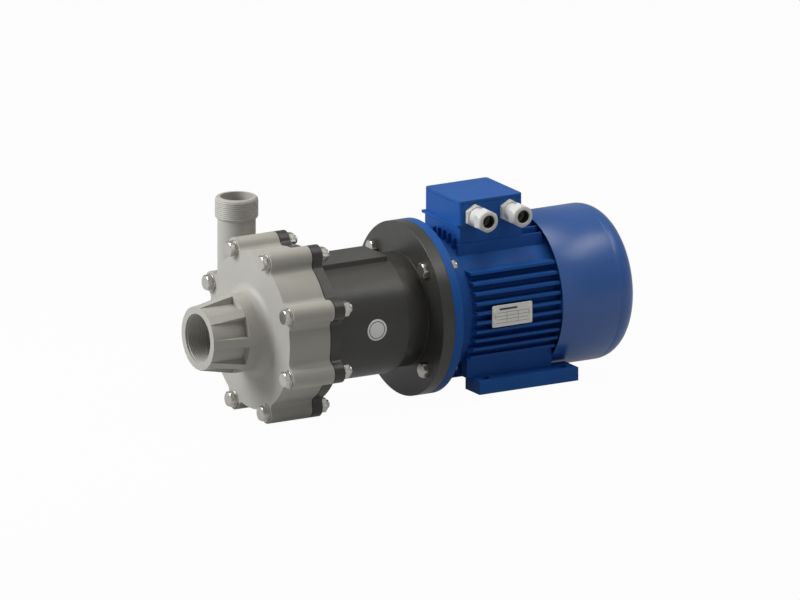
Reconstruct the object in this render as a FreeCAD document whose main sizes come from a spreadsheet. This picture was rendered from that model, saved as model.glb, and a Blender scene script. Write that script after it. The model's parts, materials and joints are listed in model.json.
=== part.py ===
import FreeCAD, Part
import math
import operator
import os
from types import SimpleNamespace

import Sketcher

# Magnetic drive pump with its flange and foot mounted motor.
#
# Every sub-part is drawn about the shaft line: +X runs from the suction mouth to the fan, +Z is up, and
# x = 0 is the face where the bracket meets the motor flange. At the end each one is placed in the frame of
# the whole pump, whose origin is the centre of the motor's foot holes on the mounting plane.

# Driving sizes in millimetres, and counts
SIZES = {
    # Motor frame size 90S
    "axis_height": 90,
    "foot_gauge": 140,
    "foot_pitch": 100,
    "foot_shoulder": 56,
    "foot_hole_d": 10,
    "flange_d": 200,
    "flange_pitch_d": 165,
    "flange_hole_d": 11,
    "flange_thickness": 11,
    "spigot_d": 130,
    "spigot_depth": 3.5,
    "shaft_end_d": 24,
    "shaft_end_length": 50,
    "key_width": 8,
    "key_height": 7,
    "key_length": 36,
    "keyway_depth": 4,
    # Clearances
    "snug_fit": 0.02,
    "running_fit": 0.08,
    "overlap": 1,
    "free_gap": 1,
    "edge_break": 1,
    # Motor casing
    "frame_start": 37,
    "frame_length": 110,
    "frame_tube_d": 150,
    "frame_wall": 9,
    "fin_reach_d": 172,
    "fin_thickness": 3.2,
    "side_fin_pitch": 10.8,
    "side_fins": 10,
    "top_fin_pitch": 11.2,
    "top_fins": 8,
    "seat_height": 95,
    "seat_half_width": 39.5,
    "lead_hole_width": 30,
    "lead_hole_length": 36,
    "shield_neck_d": 142,
    "shield_wall": 8,
    "shield_spigot_length": 4,
    "end_shield_depth": 9,
    "tie_rod_d": 5,
    "tie_rods": 4,
    "tie_rod_head_d": 8.5,
    "tie_rod_head_height": 5,
    # Feet
    "foot_margin": 14.5,
    "foot_depth": 32,
    "foot_outer_reach": 82.6,
    "foot_thickness": 15.5,
    "foot_corner": 9,
    "foot_pad_inset": 9,
    "foot_pad_length": 94,
    "foot_pad_depth": 17,
    "foot_screw_d": 6,
    "foot_screw_head_d": 10,
    "foot_screw_head_height": 6,
    "foot_screw_inset": 14,
    "foot_screw_grip": 12,
    # Rotor, stator and shaft
    "shaft_core_d": 30,
    "shaft_fan_d": 19,
    "shaft_fan_length": 36,
    "stator_inset": 13,
    "stator_length": 85,
    "rotor_d": 72,
    "air_gap": 0.4,
    "slot_depth": 15,
    "slot_width": 4.6,
    "slot_bottom": 3,
    "slots": 24,
    "winding_overhang": 9,
    "winding_inset": 3,
    "cage_ring_length": 7,
    "cage_ring_depth": 12,
    # Ball bearings, size 6205
    "bearing_bore": 25,
    "bearing_d": 52,
    "bearing_width": 15,
    "ball_d": 7.94,
    "ball_track_d": 38.5,
    "balls": 9,
    "ball_clearance": 0.08,
    "inner_land_d": 32.8,
    "outer_land_d": 44.2,
    "cage_width": 3,
    "cage_depth": 2.6,
    "drive_bearing_start": 14,
    "fan_bearing_inset": 3,
    "seal_d": 40,
    "seal_width": 6,
    "seal_start": 3,
    "wave_washer_thickness": 1.8,
    # Fan and cowl
    "cowl_d": 178,
    "cowl_wall": 1.5,
    "cowl_length": 101,
    "cowl_corner_radius": 24,
    "fan_d": 150,
    "fan_hub_d": 36,
    "fan_disc_d": 112,
    "fan_inset": 30,
    "fan_width": 30,
    "fan_disc_thickness": 3,
    "fan_blade_thickness": 2.6,
    "fan_blades": 8,
    "grille_slots": 12,
    "grille_rings": 3,
    "grille_slot_width": 7,
    "grille_first_radius": 15,
    "grille_ring_pitch": 14,
    "grille_slot_half_angle": 11,
    "cowl_lug_width": 16,
    "cowl_lugs": 4,
    "cowl_lug_length": 12,
    "cowl_screws": 2,
    "cowl_screw_d": 5,
    "cowl_screw_head_d": 9,
    "cowl_screw_head_height": 2.5,
    # Terminal box
    "box_inset": 4,
    "box_length": 81,
    "box_overhang": 0.9,
    "box_height": 31,
    "box_wall": 3,
    "box_lip": 4,
    "box_lip_height": 3,
    "box_corner_radius": 4,
    "lid_thickness": 4,
    "lid_lip_depth": 3,
    "gasket_thickness": 1,
    "box_screw_d": 4,
    "box_screw_head_d": 7,
    "box_screw_inset": 12,
    "box_screw_depth": 6,
    "block_length": 44,
    "block_width": 30,
    "block_height": 10,
    "terminal_d": 4,
    "terminal_pitch": 14,
    "terminal_height": 8,
    "terminal_nut_d": 7,
    "gland_inset": 18.5,
    "gland_pitch": 45,
    "gland_rise": 11.6,
    "gland_flats": 24,
    "gland_flange": 5.5,
    "gland_thread_d": 20,
    "gland_neck_length": 7.5,
    "gland_neck_d": 22,
    "gland_nut_length": 20,
    "gland_nut_flats": 24,
    "gland_bore": 13,
    "gland_seal_wall": 1.8,
    # Nameplate and sticker
    "plate_place": 19,
    "plate_length": 52,
    "plate_height": 25,
    "plate_thickness": 1,
    "plate_inset": 3.5,
    "rivet_d": 2.4,
    "label_d": 25,
    "label_place": 84.6,
    "label_thickness": 0.3,
    # Bracket between pump and motor
    "bracket_length": 156,
    "bracket_flange_thickness": 15,
    "bracket_neck_length": 27,
    "bracket_neck_wall": 5,
    "barrel_wall": 8,
    "lobe_flange_thickness": 13,
    "pad_half_width": 26,
    "pad_rise": 1.5,
    "pad_end_gap": 4,
    # Pump casing
    "casing_depth": 53,
    "casing_d": 180,
    "lobe_pitch_d": 190,
    "lobe_d": 25,
    "lobes": 8,
    "lobe_blend": 7,
    "casing_hole_d": 11,
    "suction_hub_d": 90,
    "suction_hub_length": 26,
    "suction_hub_blend": 12,
    "suction_boss_length": 42,
    "suction_boss_d": 73,
    "boss_rib_width": 10.5,
    "suction_thread_d": 56.66,
    "suction_thread_length": 30,
    "suction_passage_d": 48,
    "volute_d": 148,
    "volute_offset": 3,
    "volute_width": 35,
    "discharge_offset": 76,
    "discharge_top": 136,
    "discharge_d": 43.4,
    "discharge_thread_d": 47.8,
    "discharge_thread_length": 25,
    "discharge_bore": 37.6,
    "discharge_chamfer": 1.5,
    "throat_d": 24,
    "throat_offset": 66,
    "throat_top": 48,
    "diffuser_top": 85,
    "spider_hub_d": 28,
    "spider_hub_length": 20,
    "spider_arms": 3,
    "spider_arm_width": 5,
    "spider_arm_length": 12,
    # Containment shell
    "shell_flange_d": 168,
    "shell_flange_thickness": 7,
    "can_d": 91,
    "can_wall": 2.5,
    "can_length": 86,
    "can_end": 5,
    "socket_d": 30,
    "socket_length": 13,
    "socket_depth": 8,
    "ring_section": 2.5,
    "ring_groove": 3,
    # Impeller group
    "spindle_d": 20,
    "bushing_d": 32,
    "bushing_length": 107,
    "thrust_ring_thickness": 5,
    "impeller_d": 132,
    "impeller_gap": 1.2,
    "shroud_thickness": 4,
    "impeller_passage": 22,
    "shroud_slope": 2,
    "eye_d": 60,
    "eye_wall": 5,
    "eye_length": 9,
    "vanes": 6,
    "vane_thickness": 3,
    "vane_radius": 52,
    "vane_centre_radius": 44,
    "vane_inlet_d": 62,
    "neck_d": 52,
    "neck_length": 20,
    "wear_ring_wall": 4,
    "wear_gap": 0.4,
    "capsule_gap": 1.5,
    "capsule_length": 60,
    "capsule_wall": 3,
    "capsule_cover": 3,
    "inner_magnet_depth": 7,
    "magnet_length": 49,
    "magnets": 12,
    "magnet_half_angle": 13.5,
    # Outer magnet bell
    "can_gap": 1.5,
    "bell_clearance": 3,
    "bell_wall": 7,
    "bell_web": 8,
    "bell_web_gap": 4,
    "bell_length": 80,
    "drive_magnet_depth": 5,
    "hub_d": 48,
    "hub_end_gap": 8,
    "hub_screw_d": 6,
    "hub_screw_place": 25,
    # Fasteners of thread M10
    "bolt_d": 10,
    "bolt_hex": 16,
    "bolt_head_height": 6.4,
    "nut_height": 8,
    "washer_d": 20,
    "washer_thickness": 1.6,
    "bolt_stub": 4,
}

doc = FreeCAD.newDocument("magnetic_drive_pump")

sheet = doc.addObject("Spreadsheet::Sheet", "Sizes")
for row, (alias, value) in enumerate(SIZES.items(), start=1):
    sheet.set(f"A{row}", alias)
    sheet.set(f"B{row}", str(value))
    sheet.setAlias(f"B{row}", alias)
doc.recompute()


# Sizes that carry their expression

class Dim:
    """A size held twice: as a number, and as the expression on the sheet that gives it."""

    def __init__(self, value, text):
        self.value = value
        self.text = text

    def __add__(self, other):
        return join(self, "+", other)

    def __radd__(self, other):
        return join(other, "+", self)

    def __sub__(self, other):
        return join(self, "-", other)

    def __rsub__(self, other):
        return join(other, "-", self)

    def __mul__(self, other):
        return join(self, "*", other)

    def __rmul__(self, other):
        return join(other, "*", self)

    def __truediv__(self, other):
        return join(self, "/", other)

    def __rtruediv__(self, other):
        return join(other, "/", self)

    def __neg__(self):
        return join(0, "-", self)


SIGNS = {"+": operator.add, "-": operator.sub, "*": operator.mul, "/": operator.truediv}


def dim(size):
    return size if isinstance(size, Dim) else Dim(float(size), f"{float(size):.6f}")


def join(left, sign, right):
    left, right = dim(left), dim(right)
    return Dim(SIGNS[sign](left.value, right.value), f"({left.text} {sign} {right.text})")


def root(size):
    return Dim(math.sqrt(size.value), f"sqrt({size.text})")


def side_of(hypotenuse, other_side):
    """The third side of a right triangle."""
    return root(hypotenuse * hypotenuse - other_side * other_side)


def sine(angle):
    angle = dim(angle)
    return Dim(math.sin(math.radians(angle.value)), f"sin({angle.text})")


def cosine(angle):
    angle = dim(angle)
    return Dim(math.cos(math.radians(angle.value)), f"cos({angle.text})")


def bind(item, path, size):
    item.setExpression(path, dim(size).text)


S = SimpleNamespace(**{alias: Dim(float(value), f"Sizes.{alias}") for alias, value in SIZES.items()})


# Shapes for sketches: each is a function that draws on a sketch and holds every point of it

ORIGIN = -1
UP_AXIS = -2
START, END, CENTRE = 1, 2, 3


def vector(across, up):
    return FreeCAD.Vector(dim(across).value, dim(up).value, 0)


class Drawing:
    """A sketch and the constraints that wait to be added to it."""

    def __init__(self, sketch):
        self.sketch = sketch
        self.rules = []

    def add(self, geometry, construction=False):
        return self.sketch.addGeometry(geometry, construction)

    def rule(self, *terms, size=None):
        terms = terms if size is None else terms + (dim(size).value,)
        self.rules.append((Sketcher.Constraint(*terms), size))

    def fix(self, geometry, point, across, up):
        """Hold a point at its distances from the origin."""
        for kind, axis, size in (("DistanceX", UP_AXIS, across), ("DistanceY", ORIGIN, up)):
            if abs(dim(size).value) < TINY:
                self.rule("PointOnObject", geometry, point, axis)
            else:
                self.rule(kind, ORIGIN, START, geometry, point, size=size)

    def finish(self):
        first = self.sketch.ConstraintCount
        self.sketch.addConstraint([constraint for constraint, _ in self.rules])
        for number, (_, size) in enumerate(self.rules, start=first):
            if isinstance(size, Dim):
                bind(self.sketch, f"Constraints[{number}]", size)


TINY = 1e-9


def circle(across, up, radius):
    def draw(drawing):
        normal = FreeCAD.Vector(0, 0, 1)
        ring = drawing.add(Part.Circle(vector(across, up), normal, dim(radius).value))
        drawing.fix(ring, CENTRE, across, up)
        drawing.rule("Radius", ring, size=radius)
    return draw


def outline(*corners):
    """A closed polygon."""
    def draw(drawing):
        ends = corners[1:] + corners[:1]
        sides = [drawing.add(Part.LineSegment(vector(*a), vector(*b))) for a, b in zip(corners, ends)]
        for side, following, corner in zip(sides, sides[1:] + sides[:1], corners):
            drawing.rule("Coincident", side, END, following, START)
            drawing.fix(side, START, *corner)
    return draw


def rectangle(left, low, right, high):
    return outline((left, low), (right, low), (right, high), (left, high))


def hexagon(across, up, flats, turn=0):
    """A hexagon given by its width over flats; turn is the angle of its first corner."""
    corner = flats / math.sqrt(3)
    angles = [dim(turn) + 60 * number for number in range(6)]
    return outline(*[(across + corner * cosine(a), up + corner * sine(a)) for a in angles])


def sector(inner, outer, half_angle):
    """A stretch of a ring about the origin, centred on the upward axis."""
    def draw(drawing):
        normal = FreeCAD.Vector(0, 0, 1)
        middle = math.pi / 2
        half = math.radians(half_angle.value)
        arcs = []
        for radius in (inner, outer):
            ring = Part.Circle(FreeCAD.Vector(0, 0, 0), normal, radius.value)
            arc = drawing.add(Part.ArcOfCircle(ring, middle - half, middle + half))
            drawing.rule("Coincident", arc, CENTRE, ORIGIN, START)
            drawing.rule("Radius", arc, size=radius)
            drawing.rule("DistanceX", ORIGIN, START, arc, START, size=radius * sine(half_angle))
            drawing.rule("DistanceX", ORIGIN, START, arc, END, size=-(radius * sine(half_angle)))
            arcs.append(arc)
        for end, sign in ((START, 1), (END, -1)):
            feet = [FreeCAD.Vector(sign * r.value * math.sin(half), r.value * math.cos(half), 0)
                    for r in (inner, outer)]
            side = drawing.add(Part.LineSegment(*feet))
            drawing.rule("Coincident", side, START, arcs[0], end)
            drawing.rule("Coincident", side, END, arcs[1], end)
    return draw


def curved_vane(inner, outer, centre_radius, vane_radius, thickness):
    """A backward curved vane: two arcs about one centre, from the inner circle to the outer one."""
    def draw(drawing):
        normal = FreeCAD.Vector(0, 0, 1)
        guides = []
        for radius in (inner, outer):
            guide = drawing.add(Part.Circle(FreeCAD.Vector(0, 0, 0), normal, radius.value), True)
            drawing.rule("Coincident", guide, CENTRE, ORIGIN, START)
            drawing.rule("Radius", guide, size=radius)
            guides.append(guide)
        centre = FreeCAD.Vector(centre_radius.value, 0, 0)
        arcs = []
        for radius in (vane_radius - thickness / 2, vane_radius + thickness / 2):
            angles = [angle_on_circle(centre_radius.value, radius.value, r.value) for r in (inner, outer)]
            ring = Part.Circle(centre, normal, radius.value)
            arc = drawing.add(Part.ArcOfCircle(ring, min(angles), max(angles)))
            drawing.fix(arc, CENTRE, centre_radius, 0)
            drawing.rule("Radius", arc, size=radius)
            inner_end, outer_end = (START, END) if angles[0] < angles[1] else (END, START)
            drawing.rule("PointOnObject", arc, inner_end, guides[0])
            drawing.rule("PointOnObject", arc, outer_end, guides[1])
            arcs.append((arc, angles, radius.value))
        for number in (0, 1):
            feet = [centre + FreeCAD.Vector(r * math.cos(a[number]), r * math.sin(a[number]), 0)
                    for _, a, r in arcs]
            side = drawing.add(Part.LineSegment(*feet))
            for end, (arc, angles, _) in zip((START, END), arcs):
                first = angles[number] == min(angles)
                drawing.rule("Coincident", side, end, arc, START if first else END)
    return draw


def angle_on_circle(centre_radius, radius, reach):
    """The angle on a circle, whose centre lies off the origin, of its point at the given reach."""
    cosine_value = (reach**2 - centre_radius**2 - radius**2) / (2 * centre_radius * radius)
    return math.acos(cosine_value)


# Which plane is square to an axis, and which way that plane's normal points
PLANES = {"X": ("YZ_Plane", 1), "Y": ("XZ_Plane", -1), "Z": ("XY_Plane", 1)}

pieces = []


class Piece:
    """One sub-part: a body whose features are drawn on its own planes."""

    def __init__(self, node):
        self.node = node
        self.body = doc.addObject("PartDesign::Body", node)
        self.body.Label = node
        self.last = None
        pieces.append(self.body)

    def origin(self, role):
        return next(item for item in self.body.Origin.OriginFeatures if item.Role == role)

    def sketch(self, axis, place, shapes):
        role, sign = PLANES[axis]
        sketch = self.body.newObject("Sketcher::SketchObject", self.node + "_sketch")
        sketch.AttachmentSupport = [(self.origin(role), "")]
        sketch.MapMode = "FlatFace"
        bind(sketch, "AttachmentOffset.Base.z", place * sign)
        drawing = Drawing(sketch)
        for draw in shapes:
            draw(drawing)
        drawing.finish()
        return sketch

    def keep(self, feature):
        self.body.Tip = feature
        self.last = feature
        return feature

    def pad(self, axis, low, high, *shapes):
        """Add a slab between two places on an axis."""
        start = low if PLANES[axis][1] > 0 else high
        sketch = self.sketch(axis, dim(start), shapes)
        pad = self.body.newObject("PartDesign::Pad", self.node + "_pad")
        pad.Profile = sketch
        bind(pad, "Length", high - low)
        return self.keep(pad)

    def cut(self, axis, low, high, *shapes):
        """Cut a slab between two places on an axis."""
        start = high if PLANES[axis][1] > 0 else low
        sketch = self.sketch(axis, dim(start), shapes)
        pocket = self.body.newObject("PartDesign::Pocket", self.node + "_pocket")
        pocket.Profile = sketch
        bind(pocket, "Length", high - low)
        return self.keep(pocket)

    def turn(self, *corners):
        """Add a body of revolution about the shaft line, from corners (x, radius)."""
        return self.revolve("PartDesign::Revolution", corners)

    def groove(self, *corners):
        """Cut a body of revolution about the shaft line."""
        return self.revolve("PartDesign::Groove", corners)

    def revolve(self, kind, corners):
        sketch = self.sketch("Y", dim(0), [outline(*corners)])
        feature = self.body.newObject(kind, self.node + "_turned")
        feature.Profile = sketch
        feature.ReferenceAxis = (sketch, ["H_Axis"])
        feature.Angle = 360
        return self.keep(feature)

    def ball(self, x, up, radius):
        sphere = self.body.newObject("PartDesign::AdditiveSphere", self.node + "_ball")
        bind(sphere, "Radius", radius)
        bind(sphere, "Placement.Base.x", x)
        bind(sphere, "Placement.Base.z", up)
        return self.keep(sphere)

    def around(self, count, *features, turn=360):
        """Repeat features around the shaft line."""
        pattern = self.body.newObject("PartDesign::PolarPattern", self.node + "_ring")
        pattern.Originals = list(features)
        pattern.Axis = (self.origin("X_Axis"), [""])
        pattern.Angle = turn
        bind(pattern, "Occurrences", count)
        return self.keep(pattern)

    def mirror(self, role, *features):
        mirrored = self.body.newObject("PartDesign::Mirrored", self.node + "_mirrored")
        mirrored.Originals = list(features)
        mirrored.MirrorPlane = (self.origin(role), [""])
        return self.keep(mirrored)

    def edges(self, wanted):
        doc.recompute()
        found = [f"Edge{number}" for number, edge in enumerate(self.last.Shape.Edges, start=1)
                 if wanted(edge)]
        if not found:
            raise RuntimeError(f"{self.node}: no edge to blend")
        return found

    def blend(self, kind, size_name, size, wanted):
        names = self.edges(wanted)
        feature = self.body.newObject(kind, self.node + "_blend")
        feature.Base = (self.last, names)
        bind(feature, size_name, size)
        return self.keep(feature)

    def fillet(self, radius, wanted):
        return self.blend("PartDesign::Fillet", "Radius", radius, wanted)

    def chamfer(self, size, wanted):
        return self.blend("PartDesign::Chamfer", "Size", size, wanted)


NEAR = 0.01


def near(a, b):
    return abs(dim(a).value - dim(b).value) < NEAR


def circle_edge(x, radius):
    """Edges that are circles about the shaft line."""
    def wanted(edge):
        curve = edge.Curve
        return (isinstance(curve, Part.Circle) and near(curve.Radius, radius)
                and near(curve.Center.x, x) and near(curve.Center.y, 0))
    return wanted


# Places on the shaft line that several sub-parts share

joint_x = -S.bracket_length
casing_back = joint_x - S.gasket_thickness
casing_front = casing_back - S.casing_depth
hub_front = casing_front - S.suction_hub_length
mouth_x = hub_front - S.suction_boss_length
shell_front = joint_x - S.shell_flange_thickness
volute_front = shell_front - S.volute_width
lobe_flange_back = joint_x + S.lobe_flange_thickness
discharge_x = (casing_front + casing_back) / 2
frame_end = S.frame_start + S.frame_length
stator_start = S.frame_start + S.stator_inset
stator_end = stator_start + S.stator_length
drive_bearing_end = S.drive_bearing_start + S.bearing_width
fan_bearing_start = frame_end + S.fan_bearing_inset
fan_bearing_end = fan_bearing_start + S.bearing_width
fan_start = frame_end + S.fan_inset
box_start = S.frame_start + S.box_inset
box_end = box_start + S.box_length

flange_pitch = S.flange_pitch_d / 2
lobe_pitch = S.lobe_pitch_d / 2
lobe_angle = 180 / S.lobes
tube_radius = S.frame_tube_d / 2
frame_bore = tube_radius - S.frame_wall
spindle_radius = S.spindle_d / 2
bushing_radius = S.bushing_d / 2

# The magnetic coupling from the inside out: the can, the bell that turns around it, and the barrel
can_radius = S.can_d / 2
can_inner = can_radius - S.can_wall
bell_inner = can_radius + S.can_gap + S.drive_magnet_depth
bell_radius = bell_inner + S.bell_wall
barrel_inner = bell_radius + S.bell_clearance
barrel_radius = barrel_inner + S.barrel_wall


# Repeated kinds of piece

def lobe_centre(angle):
    return lobe_pitch * sine(angle), lobe_pitch * cosine(angle)


def lobed_plate(piece, low, high):
    """The outline that casing, gasket and bracket share: a disc with a lobe for each bolt."""
    piece.pad("X", low, high, circle(0, 0, S.casing_d / 2))
    lobe = piece.pad("X", low, high, circle(*lobe_centre(lobe_angle), S.lobe_d / 2))
    piece.around(S.lobes, lobe)

    def hollow_edge(edge):
        middle = edge.CenterOfMass
        reach = math.hypot(middle.y, middle.z)
        straight = isinstance(edge.Curve, Part.Line) and abs(edge.Curve.Direction.x) > 1 - NEAR
        return straight and near(reach, S.casing_d / 2)

    piece.fillet(S.lobe_blend, hollow_edge)


def lobe_holes(piece, low, high):
    hole = piece.cut("X", low, high, circle(*lobe_centre(lobe_angle), S.casing_hole_d / 2))
    piece.around(S.lobes, hole)


def flange_holes(piece, low, high):
    hole = piece.cut("X", low, high, circle(*flange_centre, S.flange_hole_d / 2))
    piece.around(dim(4), hole)


flange_centre = (flange_pitch * sine(45), flange_pitch * cosine(45))


def bolts(node, centre, count, head_x, head_height, end_x):
    """A ring of hexagon bolts whose heads face the suction side."""
    piece = Piece(node)
    head = piece.pad("X", head_x, head_x + head_height, hexagon(*centre, S.bolt_hex))
    shank = piece.pad("X", head_x + head_height, end_x, circle(*centre, S.bolt_d / 2))
    piece.around(count, head, shank)


def nuts(node, centre, count, low):
    piece = Piece(node)
    nut = piece.pad("X", low, low + S.nut_height, hexagon(*centre, S.bolt_hex),
                    circle(*centre, S.bolt_d / 2 + S.snug_fit))
    piece.around(count, nut)


def washers(node, centre, count, low):
    piece = Piece(node)
    washer = piece.pad("X", low, low + S.washer_thickness, circle(*centre, S.washer_d / 2),
                       circle(*centre, S.bolt_d / 2 + S.snug_fit))
    piece.around(count, washer)


def ring(node, low, high, inner, outer):
    piece = Piece(node)
    piece.turn((low, inner), (low, outer), (high, outer), (high, inner))
    return piece


def magnet_ring(node, low, high, inner, outer):
    """Separate curved magnets around the shaft line."""
    piece = Piece(node)
    magnet = piece.pad("X", low, high, sector(inner, outer, S.magnet_half_angle))
    piece.around(S.magnets, magnet)


def ball_groove(piece, middle):
    """The round track that the balls run in."""
    torus = piece.body.newObject("PartDesign::SubtractiveTorus", piece.node + "_track")
    bind(torus, "Radius1", S.ball_track_d / 2)
    bind(torus, "Radius2", S.ball_d / 2 + S.ball_clearance)
    bind(torus, "Placement.Base.x", middle)
    torus.Placement.Rotation = FreeCAD.Rotation(FreeCAD.Vector(0, 1, 0), 90)
    piece.keep(torus)


def ball_bearing(name, start):
    """The three pieces of a ball bearing: outer ring, inner ring and caged balls."""
    end = start + S.bearing_width
    middle = start + S.bearing_width / 2
    outer = ring(name + "_outer_ring", start, end, S.outer_land_d / 2, S.bearing_d / 2 - S.snug_fit)
    ball_groove(outer, middle)
    inner = ring(name + "_inner_ring", start, end, S.bearing_bore / 2 + S.snug_fit, S.inner_land_d / 2)
    ball_groove(inner, middle)
    low, high = middle - S.cage_width / 2, middle + S.cage_width / 2
    cage_inner = S.ball_track_d / 2 - S.cage_depth / 2
    balls = ring(name + "_balls", low, high, cage_inner, cage_inner + S.cage_depth)
    ball = balls.ball(middle, S.ball_track_d / 2, S.ball_d / 2)
    balls.around(S.balls, ball)


# Pump casing

def volute_casing():
    piece = Piece("volute_casing")
    lobed_plate(piece, casing_front, casing_back)
    piece.turn((hub_front, 0), (hub_front, S.suction_hub_d / 2), (casing_front, S.suction_hub_d / 2),
               (casing_front, 0))
    piece.fillet(S.suction_hub_blend, circle_edge(casing_front, S.suction_hub_d / 2))
    boss_radius = S.suction_boss_d / 2
    piece.turn((mouth_x, 0), (mouth_x, boss_radius), (hub_front, boss_radius), (hub_front, 0))
    rib_root = boss_radius - S.boss_rib_width / 2
    rib = piece.pad("Y", -S.boss_rib_width / 2, S.boss_rib_width / 2,
                    outline((mouth_x, rib_root), (mouth_x, boss_radius), (hub_front, S.suction_hub_d / 2),
                            (hub_front, rib_root)))
    piece.around(S.lobes, rib)
    discharge_pipe(piece)
    lobe_holes(piece, casing_front, casing_back)
    hollow_volute(piece)
    spindle_spider(piece)


def discharge_pipe(piece):
    centre = (discharge_x, S.discharge_offset)
    piece.pad("Z", dim(0), S.discharge_top, circle(*centre, S.discharge_d / 2))
    thread_low = S.discharge_top - S.discharge_thread_length
    piece.pad("Z", thread_low, S.discharge_top, circle(*centre, S.discharge_thread_d / 2))

    def thread_end(edge):
        return isinstance(edge.Curve, Part.Circle) and near(edge.Curve.Radius, S.discharge_thread_d / 2)

    piece.chamfer(S.discharge_chamfer, thread_end)
    elbow = piece.ball(discharge_x, dim(0), S.discharge_d / 2)
    bind(elbow, "Placement.Base.y", S.discharge_offset)


def hollow_volute(piece):
    thread_end = mouth_x + S.suction_thread_length
    passage = S.suction_passage_d / 2
    seat = S.eye_d / 2 + S.wear_gap + S.wear_ring_wall
    seat_front = volute_front - S.eye_length
    piece.groove((mouth_x, 0), (mouth_x, S.suction_thread_d / 2), (thread_end, S.suction_thread_d / 2),
                 (thread_end, passage), (seat_front, passage), (seat_front, seat), (volute_front, seat),
                 (volute_front, 0))
    piece.cut("X", volute_front, shell_front,
              circle(S.volute_offset, -S.volute_offset, S.volute_d / 2))
    piece.cut("X", shell_front, casing_back, circle(0, 0, S.shell_flange_d / 2))
    piece.cut("Z", S.diffuser_top, S.discharge_top,
              circle(discharge_x, S.discharge_offset, S.discharge_bore / 2))
    diffuser(piece)
    piece.cut("Z", dim(0), S.throat_top, circle(discharge_x, S.throat_offset, S.throat_d / 2))


def diffuser(piece):
    """The passage widens from the throat, which clears the casing bolt, to the bore of the pipe."""
    low = piece.sketch("Z", S.throat_top, [circle(discharge_x, S.throat_offset, S.throat_d / 2)])
    high = piece.sketch("Z", S.diffuser_top,
                        [circle(discharge_x, S.discharge_offset, S.discharge_bore / 2)])
    loft = piece.body.newObject("PartDesign::SubtractiveLoft", "volute_casing_diffuser")
    loft.Profile = low
    loft.Sections = [high]
    piece.keep(loft)


def spindle_spider(piece):
    """Three arms in the suction passage that carry the front end of the spindle."""
    back = volute_front - S.thrust_ring_thickness
    front = back - S.spider_hub_length
    piece.turn((front, 0), (front, S.spider_hub_d / 2), (back, S.spider_hub_d / 2), (back, 0))
    arm = piece.pad("X", front, front + S.spider_arm_length,
                    rectangle(-S.spider_arm_width / 2, spindle_radius, S.spider_arm_width / 2,
                              S.suction_passage_d / 2 + S.overlap))
    piece.around(S.spider_arms, arm)
    piece.cut("X", back - S.spider_arm_length, back, circle(0, 0, spindle_radius + S.snug_fit))


def casing_joint():
    gasket = Piece("casing_gasket")
    lobed_plate(gasket, casing_back, joint_x)
    gasket.cut("X", casing_back, joint_x, circle(0, 0, S.shell_flange_d / 2))
    lobe_holes(gasket, casing_back, joint_x)

    centre = lobe_centre(lobe_angle)
    front_washer = casing_front - S.washer_thickness
    nut_low = lobe_flange_back + S.washer_thickness
    bolts("casing_bolts", centre, S.lobes, front_washer - S.bolt_head_height, S.bolt_head_height,
          nut_low + S.nut_height + S.bolt_stub)
    washers("casing_washers", centre, S.lobes, front_washer)
    washers("casing_nut_washers", centre, S.lobes, lobe_flange_back)
    nuts("casing_nuts", centre, S.lobes, nut_low)


# Containment shell and what turns in it

def containment_shell():
    piece = Piece("containment_shell")
    can_end_x = joint_x + S.can_length
    floor_x = can_end_x - S.can_end
    socket_floor = floor_x - (S.socket_length - S.socket_depth)
    socket_front = floor_x - S.socket_length
    inner = can_inner
    edge = S.shell_flange_d / 2 - S.snug_fit
    groove_low = joint_x - S.shell_flange_thickness / 2 - S.ring_groove / 2
    groove_high = groove_low + S.ring_groove
    groove_floor = edge - S.ring_section - S.snug_fit
    hole = spindle_radius + S.snug_fit
    piece.turn((shell_front, inner), (shell_front, edge), (groove_low, edge), (groove_low, groove_floor),
               (groove_high, groove_floor), (groove_high, edge), (joint_x, edge), (joint_x, can_radius),
               (can_end_x, can_radius), (can_end_x, 0), (socket_floor, 0), (socket_floor, hole),
               (socket_front, hole), (socket_front, S.socket_d / 2), (floor_x, S.socket_d / 2),
               (floor_x, inner))

    seal = Piece("shell_o_ring")
    torus = seal.body.newObject("PartDesign::AdditiveTorus", "shell_o_ring_torus")
    bind(torus, "Radius1", edge - S.ring_section / 2 - S.snug_fit / 2)
    bind(torus, "Radius2", S.ring_section / 2)
    bind(torus, "Placement.Base.x", (groove_low + groove_high) / 2)
    torus.Placement.Rotation = FreeCAD.Rotation(FreeCAD.Vector(0, 1, 0), 90)
    seal.keep(torus)

    spindle_front = volute_front - S.thrust_ring_thickness - S.spider_arm_length
    spindle = Piece("pump_spindle")
    spindle.turn((spindle_front, 0), (spindle_front, spindle_radius), (socket_floor, spindle_radius),
                 (socket_floor, 0))
    ring("thrust_ring", volute_front - S.thrust_ring_thickness, volute_front - S.snug_fit,
         spindle_radius + S.snug_fit, S.spider_hub_d / 2)
    seat = S.eye_d / 2 + S.wear_gap + S.wear_ring_wall
    ring("wear_ring", volute_front - S.eye_length, volute_front, S.eye_d / 2 + S.wear_gap,
         seat - S.snug_fit)


impeller_back = shell_front - S.impeller_gap
back_shroud_front = impeller_back - S.shroud_thickness
front_shroud_back = back_shroud_front - S.impeller_passage
bushing_front = volute_front + S.running_fit
bushing_back = bushing_front + S.bushing_length
neck_back = impeller_back + S.neck_length
capsule_back = neck_back + S.capsule_length


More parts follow.
